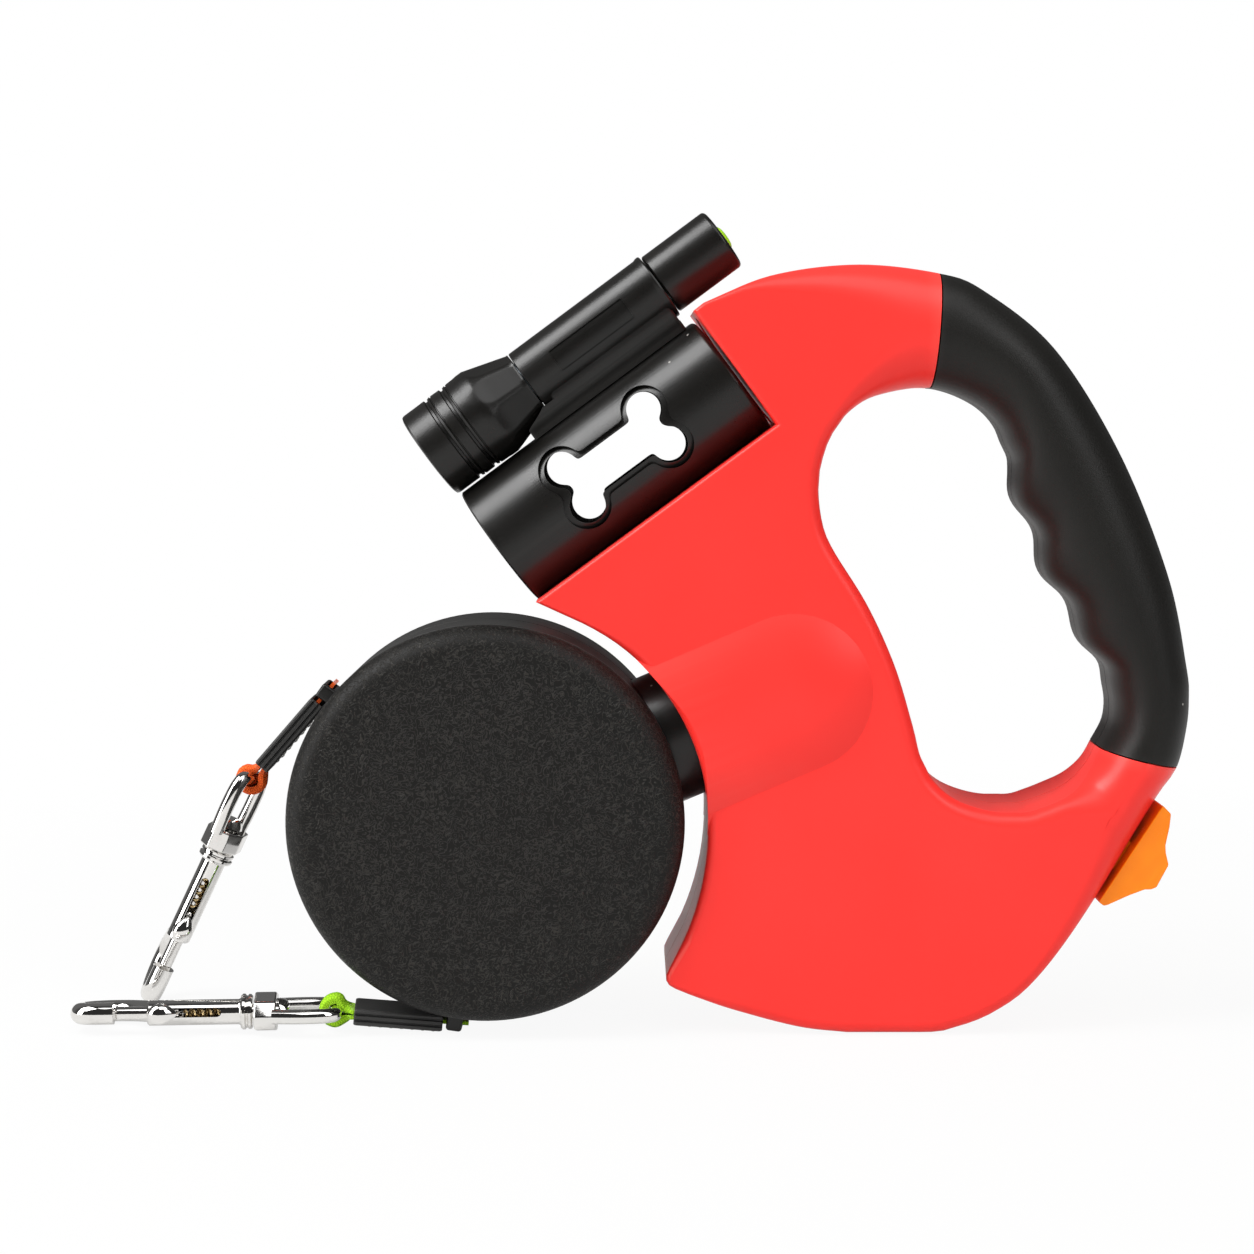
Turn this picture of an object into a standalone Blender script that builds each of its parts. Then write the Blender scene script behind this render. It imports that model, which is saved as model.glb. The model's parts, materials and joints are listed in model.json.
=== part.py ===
# Retractable leash for two dogs: a handle, a swivelling head with two reels, a bag tube, a torch and
# two snap hooks. Sizes are in millimetres and angles in degrees; MM turns them into metres.
# The handle stands on z = 0 with its two halves meeting on the plane y = 0; near means towards -Y.
import math

import bmesh
import bpy
from mathutils import Matrix, Vector

MM = 0.001
GAP = 0.3                       # clearance between pieces that sit against each other
SHIFT_X = -0.8                  # puts the middle of the handle and head on x = 0
NEAR, FAR = -1, 1               # side of the mid-plane, as the sign of y
SIDES = {"near": NEAR, "far": FAR}

# Reel head
HEAD_CENTRE = (-54.4, 46.5)     # x and z of the middle of the drum
SWIVEL_TILT = 23.0              # the swivel axis rises this much above +X
DRUM_R = 43.0
DRUM_HALF = 22.5                # half of the drum's thickness
DRUM_EDGE = 5.0                 # rounding of the covers' edges
CASE_WALL = 2.4
CASE_RIM = 16.3                 # the cups end here and the covers begin
WEB = (1.3, 2.9)                # the cup's floor, from and to the mid-plane
COVER_WALL = 2.2
AXLE_R = 4.0
REEL_FLOOR = WEB[1] + GAP
REEL_PLATE = 2.2                # thickness of the toothed plate
REEL_TOP = 15.2
REEL_FLANGE_R = DRUM_R - CASE_WALL - 2.2
WINDING_R = REEL_FLANGE_R - 1.8
HUB_R = 19.5
HUB_WALL = 2.0
TOOTH_TIP = DRUM_R - CASE_WALL - 1.1
TOOTH_ROOT = TOOTH_TIP - 3.3
TOOTH_COUNT = 12
TOOTH_SHARE = 0.5               # part of the pitch that a tooth takes
SPRING_TURNS = 3
SPRING_STRIP = 0.7
MOUTH_ANGLE = 121.0             # the mouths' places, either way from the swivel axis
MOUTH_R = DRUM_R + 1.9          # distance of the tape's slot from the drum's middle
GUIDE = (-2.2, 2.6)             # the mouth's block along the tape,
GUIDE_DEEP = (-1.7, 4.6)        # from outside the drum inwards,
GUIDE_SIDE = 1.6                # and past the tape's edges

# Neck, from the drum's middle along the swivel axis
COLLAR_R = 14.6
COLLAR_END = DRUM_R + 8.9
STEM_R = 9.0
NECK_BORE = 4.0
FINGER_SLOT = (2.3, 6.2, COLLAR_END - 1.5)   # half width, half height and far end of the brake fingers' slot
PRONG = (5.6, 12.4, 24.0)       # from and to the axis sideways, and the inner end
PRONG_HALF = 1.0
BUSH_R = 13.2
BUSH_FLANGE_R = 14.7
BUSH = (COLLAR_END + GAP, COLLAR_END + 1.1, COLLAR_END + 7.1)   # start, end of its flange, and end
WASHER = (BUSH[2] + GAP, BUSH[2] + 1.3)
NUT = (WASHER[1] + GAP, WASHER[1] + 4.7)
STEM_END = NUT[1] + 1.5
NUT_R = 13.0

# Brakes
BRAKE_TRAVEL = 4.0              # how far a button slides
FINGER_HALF = 1.2
FINGER_TIP = TOOTH_TIP + 0.8
FINGER_Y = (3.3, 5.3)           # the fingers' distance from the mid-plane
INNER_ARM = (FINGER_TIP + 1.1, FINGER_TIP + 2.9)   # the inner plunger's cross arm
OUTER_ARM = (FINGER_TIP + 6.7, FINGER_TIP + 8.9)   # the outer plunger's cross arm
INNER_ROD = (1.6, STEM_END + 11.5)        # radius and far end
OUTER_TUBE = (2.1, 3.5, STEM_END + 5.0)   # bore, radius and far end
PAD_DEPTH = 2.6
PAD_DROP = 0.85                 # the outer pad nears the rod by this much as its crank turns
CRANK_PIVOT = (OUTER_TUBE[2] + 4.0, -24.0)     # along and across the swivel axis
CRANK_ARM = (2.9, -17.7)        # from the pivot to the link's pin, x and z
CRANK_Y = (4.6, 7.6)
LINK_Y = (8.4, 11.0)
BAR_R = 2.6
PIN_R = 1.3
BUTTON_START = (77.3, 27.9)     # where the buttons' line leaves the handle's lower edge
BUTTON_DIR = (0.542, 0.840)
BUTTON_CAP = ((1.4, 0.9), (1.3, 2.3), (1.95, 2.95), (6.1, 5.6), (9.1, 7.8), (9.9, 9.0), (10.9, 9.7),
              (16.4, 9.2), (18.3, 7.2), (19.65, 6.2), (23.5, 4.7), (26.0, 3.4), (26.6, 0.9))
BUTTON_Y = (1.0, 13.0)
BUTTON_STEM = (9.0, 16.0)       # along the edge
BUTTON_PIN = (11.0, -8.0)       # the foot's pin, along the edge and away from it

# Handle
HALF_DEPTH = 16.5
WALL = 2.3
EDGE = 3.0                      # rounding of the flat faces' edges
GRIP_INSET = 8.0                # rounding of the grip in the handle's plane
GRIP_ROUND = 11.5               # rounding of the grip across it
SKIN = 2.0                      # thickness of the soft grip
FINGER_PITCH = 17.2
FINGER_PHASE = 43.2             # a crest of the finger wave, along the grip from its lower end
FINGER_WAVE = 1.1
RECESS_R = DRUM_R + 5.0
RECESS_FLARE = 3.6              # how far the recess opens towards its lower lip
RECESS_FROM, RECESS_TO = 76.0, -43.0
TOP_OUTER = ((43.5, 164.8), (26.0, 166.5), (7.3, 164.0), (-7.6, 158.0))
BOTTOM_OUTER = ((-8.6, 8.0), (0.4, 4.7), (13.7, 1.2), (24.0, 0.0))   # after the recess's lower lip
RIGHT_OUTER = ((40.0, 0.0), (48.0, 1.2), (56.3, 4.6), (64.9, 11.4), (77.3, 27.9), (92.2, 51.0),
               (96.6, 57.4))
GRIP_OUTER = ((96.6, 57.4), (98.6, 66.3), (99.0, 72.9), (98.4, 79.5), (94.1, 99.3), (83.4, 125.5),
              (68.9, 148.3), (53.3, 161.0), (43.5, 164.8))
TOP_INNER = ((41.8, 140.1), (30.2, 138.5), (24.0, 135.2), (20.2, 130.4))
CORNER_INNER = ((20.2, 130.4), (18.2, 125.4), (17.2, 119.6))
LEFT_INNER = ((17.2, 119.6), (17.9, 112.0), (20.2, 105.8), (27.9, 93.4), (33.9, 80.3), (37.9, 67.3),
              (39.8, 60.2))
BOTTOM_INNER = ((39.8, 60.2), (43.2, 54.6), (48.7, 50.6), (57.3, 48.4))
RIGHT_INNER = ((60.5, 48.4), (66.5, 49.6), (73.5, 52.9), (77.6, 57.2), (79.8, 61.4))
GRIP_INNER = ((79.8, 61.4), (82.6, 67.4), (82.0, 75.0), (77.2, 85.0), (69.7, 97.5), (64.2, 110.4),
              (60.0, 122.0), (57.7, 130.9), (51.7, 136.8), (41.8, 140.1))
BOSS_ROUND = 31.0               # the raised boss over the neck: its rounding in the face's plane,
BOSS_HALF = 19.8                # how far it stands from the mid-plane,
BOSS_SPAN = (COLLAR_END - 0.9, COLLAR_END + 20.1)   # and its straight stretch along the swivel axis
SCREW_PLACES = ((13.0, 150.0), (5.0, 112.0), (3.0, 24.0), (60.0, 19.0))
SCREW_R = 1.4
SCREW_HEAD_R = 2.7
SCREW_SEAT = 10.0               # the counterbores' floor, from the mid-plane
SCREW_HEAD = 2.3
SCREW_TIP = -9.0
PILOT_ROOM = 0.25               # round a screw or pin
PILLAR_R = 4.4

# Bag tube and torch, in the frame of the notch: s along the tube, n away from the notch's floor
NOTCH_CORNER = (8.1, 132.2)
NOTCH_TILT = 36.4
NOTCH_LENGTH = 64.0
NOTCH_HEIGHT = 30.0
TUBE_R = 14.65
TUBE_WALL = 1.8
TUBE_AXIS = 13.75
TUBE_GAP = 0.7                  # the slit between the tube and the handle
BONE_PLACE = (-31.8, 1.0)       # middle of the window along s, and above the tube's axis
BONE_LOBE = (3.95, 11.0, 4.7)   # lobe radius, and its place along and across
BONE_SHAFT = 4.35               # half width of the shaft
KEEL = (-50.0, -14.0)
RAIL = (-36.0, -3.0)
RAIL_HALF = (1.8, 3.2)          # half widths of the rail's web and head
RAIL_HEAD = 1.0                 # thickness of its head,
RAIL_DROP = 1.2                 # and its depth under the torch's barrel
SHOE_HALF = 5.2
TORCH_FRONT = -64.75
TORCH_HEAD_R = 10.4             # the head's largest ring, which rests on the tube
TORCH_FRONT_R = 10.0            # the rings before it
TORCH_MOUTH_R = 8.6             # where the lens sits
TORCH_AXIS = TUBE_AXIS + TUBE_R + GAP + TORCH_HEAD_R
TORCH_BARREL_R = 7.55
TORCH_TAIL_R = 7.2
TORCH_BORE = 5.6
TORCH_GROOVES = (6.6, 11.0)     # from the front
TORCH_RING = (14.0, 16.5)       # the largest ring's ends
TORCH_HEAD_END = 26.8
TORCH_TAIL_START = 62.6
TORCH_END = 79.8
TORCH_CAP_R = (2.9, 4.4)        # the switch's cap and the flange that keeps it in the tail
TORCH_CELL = (5.25, 16.5, 60.2)   # the cell's radius, and its ends from the front

# Leads and hooks
TAPE_T = 0.8
TAPE_HALF = 3.6                 # half of the tape's width
TAPE_LAYER = 0.6                # the two layers in a sleeve lie this far from its middle
LEAD_Y = 10.2                   # the tapes leave the head this far from the mid-plane
LEAD_DIRS = {"near": 174.8, "far": 229.0}
LEAD_YAW = {"near": 4.0, "far": 0.0}
SLEEVE = (3.7, 23.0)            # start and end along the lead
SLEEVE_HALF = (5.6, 1.8)        # half width and half thickness
EYE_BAR = 27.2                  # where the hook's eye sits in the tape's loop
HOOK_DIRS = {"near": 180.0, "far": 244.6}
HOOK_ROLL = {"near": -10.0, "far": 9.0}
EYE_ROLL = {"near": 0.0, "far": -20.0}
EYE_WIRE = 1.6
EYE_HALF = 5.9                  # half of the eye's width, between the middles of its wire
EYE_BASE = (12.6, 17.4)         # the eye's block, along the hook
EYE_BASE_R = (6.6, 4.3)        # its corner radius, across the eye and through it
LOOP_R = 2.7                    # the tape's inner radius round the eye
LOOP_GATHER = 0.6               # part of its width that the tape keeps there
HOOK_BARREL_R = 2.75
HOOK_RING_R = 3.9
HOOK_ARM_R = 2.35
HOOK_ARM = ((1.4, 34.0), (2.8, 38.0), (7.0, 41.2), (10.4, 45.1), (11.2, 49.5), (9.0, 53.3), (5.0, 55.3),
            (1.6, 54.9), (0.2, 52.6), (0.0, 47.9))
BOLT_R = 1.5
BOLT = (33.6, 47.5)             # from the spring to the arm's socket
HOOK_COILS = 6                  # turns of the bolt's spring,
COIL_POINTS = 8                 # points in a turn,
COIL_R = 1.05                   # radius of a turn,
COIL_WIRE = 0.3                 # radius of its wire,
COIL_SPAN = (22.6, 33.0)        # and its ends along the hook

ROUND_STEPS = 28                # facets round large turned pieces
SMALL_STEPS = 10                # and round small ones

RED = ("red abs", (0.90, 0.055, 0.05), 0.38, 0.0)
SOFT_BLACK = ("grip rubber", (0.020, 0.020, 0.021), 0.75, 0.0)
GRAIN_BLACK = ("grained plastic", (0.035, 0.035, 0.034), 0.6, 0.0)
BLACK = ("black plastic", (0.015, 0.015, 0.016), 0.35, 0.0)
ORANGE = ("orange plastic", (1.0, 0.36, 0.01), 0.2, 0.0)
LIME = ("lime plastic", (0.55, 0.80, 0.03), 0.25, 0.0)
ORANGE_TAPE = ("orange webbing", (0.95, 0.16, 0.01), 0.9, 0.0)
LIME_TAPE = ("lime webbing", (0.45, 0.75, 0.02), 0.9, 0.0)
CHROME = ("chromed zinc", (0.80, 0.78, 0.76), 0.08, 1.0)
STEEL = ("steel", (0.56, 0.56, 0.57), 0.3, 1.0)
SPRING_BRASS = ("spring brass", (0.60, 0.45, 0.20), 0.3, 1.0)
WHITE = ("white acetal", (0.85, 0.85, 0.83), 0.4, 0.0)
CLEAR = ("lens", (0.85, 0.9, 0.92), 0.05, 0.0)
CELL = ("cell label", (0.10, 0.12, 0.14), 0.4, 0.0)


def clear_scene():
    for thing in list(bpy.data.objects):
        bpy.data.objects.remove(thing, do_unlink=True)


def collection(name):
    group = bpy.data.collections.new(name)
    bpy.context.scene.collection.children.link(group)
    return group


def material(look):
    name, colour, roughness, metallic = look
    found = bpy.data.materials.get(name)
    if found:
        return found
    made = bpy.data.materials.new(name)
    made.use_nodes = True
    shader = made.node_tree.nodes["Principled BSDF"]
    shader.inputs["Base Color"].default_value = (*colour, 1.0)
    shader.inputs["Roughness"].default_value = roughness
    shader.inputs["Metallic"].default_value = metallic
    return made


clear_scene()
parts = collection("leash")
cutters = collection("cutters")
frames = collection("frames")


def place(thing, parent=None, at=(0, 0, 0), turn=(0, 0, 0)):
    thing.parent = parent
    thing.location = (Vector(at) + Vector((0 if parent else SHIFT_X, 0, 0))) * MM
    thing.rotation_euler = turn
    return thing


def frame(name, parent=None, at=(0, 0, 0), axes=None):
    """An empty whose axes are the columns of axes."""
    empty = bpy.data.objects.new(name, None)
    frames.objects.link(empty)
    place(empty, parent, at)
    if axes:
        empty.rotation_euler = Matrix(axes).transposed().to_euler()
    return empty


def piece(name, mesh, look, parent=None, at=(0, 0, 0), turn=(0, 0, 0)):
    """A part when it has a look, and otherwise a cutter or an addition."""
    thing = bpy.data.objects.new(name, mesh)
    if look:
        parts.objects.link(thing)
        mesh.materials.append(material(look))
    else:
        cutters.objects.link(thing)
        thing.hide_render = True
        thing.display_type = "WIRE"
    return place(thing, parent, at, turn)


def from_bmesh(name, shape):
    bmesh.ops.recalc_face_normals(shape, faces=shape.faces)
    mesh = bpy.data.meshes.new(name)
    shape.to_mesh(mesh)
    shape.free()
    return mesh


def turned(name, profile, look=None, parent=None, at=(0, 0, 0), turn=(0, 0, 0), steps=ROUND_STEPS):
    """A profile of radii and heights, run down its outer side, turned about local Z."""
    points = [(r * MM, 0.0, z * MM) for r, z in profile]
    edges = [(i, i + 1) for i in range(len(points) - 1)]
    if profile[0][0] > 0 or profile[-1][0] > 0:
        edges.append((len(points) - 1, 0))
    mesh = bpy.data.meshes.new(name)
    mesh.from_pydata(points, edges, [])
    thing = piece(name, mesh, look, parent, at, turn)
    screw = thing.modifiers.new("turn", "SCREW")
    screw.steps = screw.render_steps = steps
    screw.use_merge_vertices = True
    screw.merge_threshold = 1e-5
    return thing


def rod(name, radius, start, end, look=None, parent=None, at=(0, 0, 0), turn=(0, 0, 0), steps=SMALL_STEPS):
    """A cylinder along local Z."""
    shape = bmesh.new()
    bmesh.ops.create_cone(shape, cap_ends=True, segments=steps, radius1=radius * MM, radius2=radius * MM,
                          depth=(end - start) * MM)
    bmesh.ops.translate(shape, vec=(0, 0, (start + end) / 2 * MM), verts=shape.verts)
    return piece(name, from_bmesh(name, shape), look, parent, at, turn)


def ring(name, bore, radius, start, end, look=None, parent=None, at=(0, 0, 0), steps=ROUND_STEPS):
    return turned(name, ((radius, end), (radius, start), (bore, start), (bore, end)), look, parent, at,
                  steps=steps)


def block(name, low, high, look=None, parent=None, at=(0, 0, 0), turn=(0, 0, 0), bevel=0.0):
    """A box between two corners of its parent's frame."""
    shape = bmesh.new()
    bmesh.ops.create_cube(shape, size=1.0)
    size = Vector(high) - Vector(low)
    middle = (Vector(high) + Vector(low)) / 2
    bmesh.ops.scale(shape, vec=size * MM, verts=shape.verts)
    bmesh.ops.translate(shape, vec=middle * MM, verts=shape.verts)
    thing = piece(name, from_bmesh(name, shape), look, parent, at, turn)
    if bevel:
        round_edges(thing, bevel)
    return thing


def round_edges(thing, width, segments=2, angle=35.0):
    bevel = thing.modifiers.new("round", "BEVEL")
    bevel.width = width * MM
    bevel.segments = segments
    bevel.limit_method = "ANGLE"
    bevel.angle_limit = math.radians(angle)
    return thing


def plate(name, outlines, low, high, look=None, parent=None, at=(0, 0, 0), turn=(0, 0, 0)):
    """Outlines in local XY, the first one outside and the others holes, from low to high along local Z."""
    curve = bpy.data.curves.new(name, "CURVE")
    curve.dimensions = "2D"
    curve.fill_mode = "BOTH"
    curve.extrude = (high - low) / 2 * MM
    for outline in outlines:
        spline = curve.splines.new("POLY")
        spline.points.add(len(outline) - 1)
        for point, (x, y) in zip(spline.points, outline):
            point.co = (x * MM, y * MM, 0.0, 1.0)
        spline.use_cyclic_u = True
    drawn = bpy.data.objects.new(name + " outline", curve)
    shape = bmesh.new()
    shape.from_mesh(bpy.data.meshes.new_from_object(drawn))
    bpy.data.objects.remove(drawn)
    bmesh.ops.remove_doubles(shape, verts=shape.verts, dist=1e-6)
    bmesh.ops.translate(shape, vec=(0, 0, (high + low) / 2 * MM), verts=shape.verts)
    return piece(name, from_bmesh(name, shape), look, parent, at, turn)


UPRIGHT = (math.pi / 2, 0, 0)   # turns a plate so that its local Y is up and its local Z is towards -Y


def tube(name, points, radius, look=None, parent=None, cyclic=False, radii=None, sides=2):
    """A round wire through points."""
    curve = bpy.data.curves.new(name, "CURVE")
    curve.dimensions = "3D"
    curve.bevel_depth = radius * MM
    curve.bevel_resolution = sides
    curve.use_fill_caps = True
    spline = curve.splines.new("POLY")
    spline.points.add(len(points) - 1)
    for i, (point, where) in enumerate(zip(spline.points, points)):
        point.co = (*(Vector(where) * MM), 1.0)
        point.radius = radii[i] if radii else 1.0
    spline.use_cyclic_u = cyclic
    drawn = bpy.data.objects.new(name + " wire", curve)
    shape = bmesh.new()
    shape.from_mesh(bpy.data.meshes.new_from_object(drawn))
    bpy.data.objects.remove(drawn)
    bmesh.ops.remove_doubles(shape, verts=shape.verts, dist=1e-6)
    return piece(name, from_bmesh(name, shape), look, parent)


def boolean(thing, other, operation):
    step = thing.modifiers.new(other.name, "BOOLEAN")
    step.operation = operation
    step.solver = "EXACT"
    step.object = other
    return thing


def cut(thing, *others):
    for other in others:
        boolean(thing, other, "DIFFERENCE")
    return thing


def join(thing, *others):
    for other in others:
        boolean(thing, other, "UNION")
    return thing


def circle(radius, count, centre=(0, 0)):
    return [(centre[0] + radius * math.cos(2 * math.pi * i / count),
             centre[1] + radius * math.sin(2 * math.pi * i / count)) for i in range(count)]


def bar_outline(ends, radius, count=5):
    """The outline of a straight bar with round ends."""
    a, b = Vector(ends[0]), Vector(ends[1])
    angle = math.atan2(*(b - a).yx)
    outline = []
    for end, start in ((b, angle - math.pi / 2), (a, angle + math.pi / 2)):
        for i in range(count):
            turn = start + math.pi * i / (count - 1)
            outline.append((end.x + radius * math.cos(turn), end.y + radius * math.sin(turn)))
    return outline


def along_curve(points, count):
    """count + 1 places spaced evenly along a smooth curve through points."""
    ends = [Vector(p) for p in points]
    ends = [2 * ends[0] - ends[1]] + ends + [2 * ends[-1] - ends[-2]]
    fine = []
    for a, b, c, d in zip(ends, ends[1:], ends[2:], ends[3:]):
        for i in range(24):
            t = i / 24
            fine.append(0.5 * (2 * b + (c - a) * t + (2 * a - 5 * b + 4 * c - d) * t * t
                               + (3 * b - a - 3 * c + d) * t ** 3))
    fine.append(ends[-2])
    lengths = [0.0]
    for a, b in zip(fine, fine[1:]):
        lengths.append(lengths[-1] + (b - a).length)
    places = []
    for i in range(count + 1):
        want = lengths[-1] * i / count
        k = max(1, next((j for j, v in enumerate(lengths) if v >= want - 1e-9), len(lengths) - 1))
        share = (want - lengths[k - 1]) / (lengths[k] - lengths[k - 1])
        places.append(fine[k - 1].lerp(fine[k], share))
    return places


def loft(name, sections, closed, look=None):
    """A skin over C-shaped sections, capped across the C at both ends unless the loft closes on itself."""
    shape = bmesh.new()
    rings = [[shape.verts.new(Vector(p) * MM) for p in section] for section in sections]
    pairs = list(zip(rings, rings[1:]))
    if closed:
        pairs.append((rings[-1], rings[0]))
    for one, two in pairs:
        for i in range(len(one)):
            j = (i + 1) % len(one)
            shape.faces.new((one[i], one[j], two[j], two[i]))
    for end in () if closed else (rings[0], rings[-1]):
        for i in range(len(end) // 2 - 1):
            shape.faces.new((end[i], end[i + 1], end[-2 - i], end[-1 - i]))
    bmesh.ops.remove_doubles(shape, verts=shape.verts, dist=1e-6)
    return piece(name, from_bmesh(name, shape), look)


def swivel_point(along, across):
    """x and z of a place given along and across the swivel axis."""
    tilt = math.radians(SWIVEL_TILT)
    return (HEAD_CENTRE[0] + along * math.cos(tilt) - across * math.sin(tilt),
            HEAD_CENTRE[1] + along * math.sin(tilt) + across * math.cos(tilt))


def head_point(radius, angle):
    """x and z at a radius and an angle above +X, from the middle of the drum."""
    turn = math.radians(angle)
    return Vector((HEAD_CENTRE[0] + radius * math.cos(turn), HEAD_CENTRE[1] + radius * math.sin(turn)))


def notch_point(s, n):
    tilt = math.radians(NOTCH_TILT)
    return Vector((NOTCH_CORNER[0] + s * math.cos(tilt) - n * math.sin(tilt),
                   NOTCH_CORNER[1] + s * math.sin(tilt) + n * math.cos(tilt)))


tilt = math.radians(SWIVEL_TILT)
swivel_axis = Vector((math.cos(tilt), 0, math.sin(tilt)))
head_frame = frame("head_frame", at=(HEAD_CENTRE[0], 0, HEAD_CENTRE[1]),
                   axes=((math.sin(tilt), 0, -math.cos(tilt)), (0, 1, 0), swivel_axis))
# In a module's frame X is the swivel axis and Z the reel's axis, pointing out of the head.
module_frames = {
    "near": frame("module_near_frame", head_frame, axes=((0, 0, 1), (-1, 0, 0), (0, -1, 0))),
    "far": frame("module_far_frame", head_frame, axes=((0, 0, 1), (1, 0, 0), (0, 1, 0))),
}


# Handle: paired points round the outside and round the hand's opening
def recess_rail(count):
    """The edge that curves round the drum, from its upper lip to its lower one."""
    places = []
    for i in range(count + 1):
        angle = RECESS_FROM + (RECESS_TO - RECESS_FROM) * i / count
        opened = max(0.0, (6.0 - angle) / (6.0 - RECESS_TO))
        places.append(head_point(RECESS_R + RECESS_FLARE * opened ** 2, angle))
    return places


def smooth_step(t):
    t = min(1.0, max(0.0, t))
    return t * t * (3 - 2 * t)


def body_rails():
    """Outer point, inner point and roundness of each section, from the grip's top to its lower end."""
    sections = []
    top_count, recess_count, bottom_count, right_count = 6, 10, 6, 8
    outer, inner = along_curve(TOP_OUTER, top_count), along_curve(TOP_INNER, top_count)
    for i in range(top_count + 1):
        sections.append((outer[i], inner[i], smooth_step(1.0 - 1.15 * i / top_count)))
    corner = along_curve(CORNER_INNER, 4)
    for i, where in enumerate((notch_point(0, NOTCH_HEIGHT), notch_point(0, 0),
                               notch_point(-NOTCH_LENGTH, 0))):
        sections.append((where, corner[i + 1], 0.0))
    outer, inner = recess_rail(recess_count), along_curve(LEFT_INNER, recess_count)
    for i in range(1, recess_count + 1):
        sections.append((outer[i], inner[i], 0.0))
    outer = along_curve((outer[-1], *BOTTOM_OUTER), bottom_count)
    inner = along_curve(BOTTOM_INNER, bottom_count)
    for i in range(1, bottom_count + 1):
        sections.append((outer[i], inner[i], 0.0))
    outer, inner = along_curve(RIGHT_OUTER, right_count), along_curve(RIGHT_INNER, right_count)
    for i in range(right_count + 1):
        sections.append((outer[i], inner[i], smooth_step(1.6 * i / right_count - 0.6)))
    return sections


def grip_rails(count):
    """The grip's sections from its lower end to its top, and the finger wave on the inner side of each."""
    outer, inner = along_curve(GRIP_OUTER, count), along_curve(GRIP_INNER, count)
    waves = []
    along = 0.0
    for i in range(count + 1):
        along += (inner[i] - inner[max(0, i - 1)]).length
        inside = smooth_step((along - 12.0) / 8.0) * smooth_step((76.0 - along) / 8.0)
        waves.append(FINGER_WAVE * inside * math.cos(2 * math.pi * (along - FINGER_PHASE) / FINGER_PITCH))
    return [(a, b, 1.0) for a, b in zip(outer, inner)], waves


def inset_normals(points, closed, side):
    """Unit-offset vectors into the material at each point, mitred at corners."""
    count = len(points)
    normals = []
    for i in range(count):
        ways = []
        for j, k in ((i - 1, i), (i, i + 1)):
            if closed:
                j, k = j % count, k % count
            elif j < 0 or k >= count:
                continue
            step = points[k] - points[j]
            if step.length > 1e-6:
                step.normalize()
                ways.append(Vector((-step.y, step.x)) * side)
        total = ways[0] + ways[-1]
        normals.append(total / (1 + ways[0].dot(ways[-1])))
    return normals


def half_section(outer, outer_in, inner, inner_in, roundness, less, arcs=3, wave=0.0):
    """Points over one half of the handle, from the outer mid-line to the inner one: x, depth and z."""
    inset = min(EDGE + (GRIP_INSET - EDGE) * roundness, 0.38 * (outer - inner).length) - less
    deep = EDGE + (GRIP_ROUND - EDGE) * roundness - less
    depth = HALF_DEPTH - less
    points = []
    for rail, into, bump in ((outer, outer_in, 0.0), (inner, inner_in, wave)):
        start = rail + into * less
        side = [(start - into * bump, GAP / 2), (start - into * bump, depth - deep)]
        for k in range(1, arcs + 1):
            turn = math.pi / 2 * k / arcs
            fade = bump * math.cos(turn) ** 2
            side.append((start + into * (inset * (1 - math.cos(turn)) - fade),
                         depth - deep + deep * math.sin(turn)))
        points.append(side)
    path = points[0] + points[1][::-1]
    return [(p.x, y, p.y) for p, y in path]


def sided(section, side):
    return [(x, side * y, z) for x, y, z in section]


GRIP_COUNT = 18
body = body_rails()
grip, waves = grip_rails(GRIP_COUNT)
loop = body + grip[1:-1]
outer_in = inset_normals([s[0] for s in loop], True, 1)
inner_in = inset_normals([s[1] for s in loop], True, -1)


def shell_sections(side):
    """C-shaped sections of one half shell, all the way round the loop."""
    last = len(body) - 1
    order = [(i, 0.0) for i in range(last + 1)] + [(last, SKIN + GAP)]
    order += [(i, SKIN + GAP) for i in range(last + 1, len(loop))] + [(0, SKIN + GAP)]
    sections = []
    for i, less in order:
        outer, inner, roundness = loop[i]
        outside = half_section(outer, outer_in[i], inner, inner_in[i], roundness, less)
        wall = WALL + less
        if roundness > 0.0:
            wall = WALL + (SKIN + GAP) * roundness
        top = HALF_DEPTH - wall
        a = outer + outer_in[i] * (wall + 2.2 * roundness)
        b = inner + inner_in[i] * (wall + 2.2 * roundness)
        rim = min(SKIN + GAP, wall)
        rim_a, rim_b = outer + outer_in[i] * rim, inner + inner_in[i] * rim
        inside = [(rim_b.x, GAP / 2, rim_b.y), (b.x, GAP / 2, b.y), (b.x, top, b.y), (a.x, top, a.y),
                  (a.x, GAP / 2, a.y), (rim_a.x, GAP / 2, rim_a.y)]
        sections.append(sided(outside + inside, side))
    return sections


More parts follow.
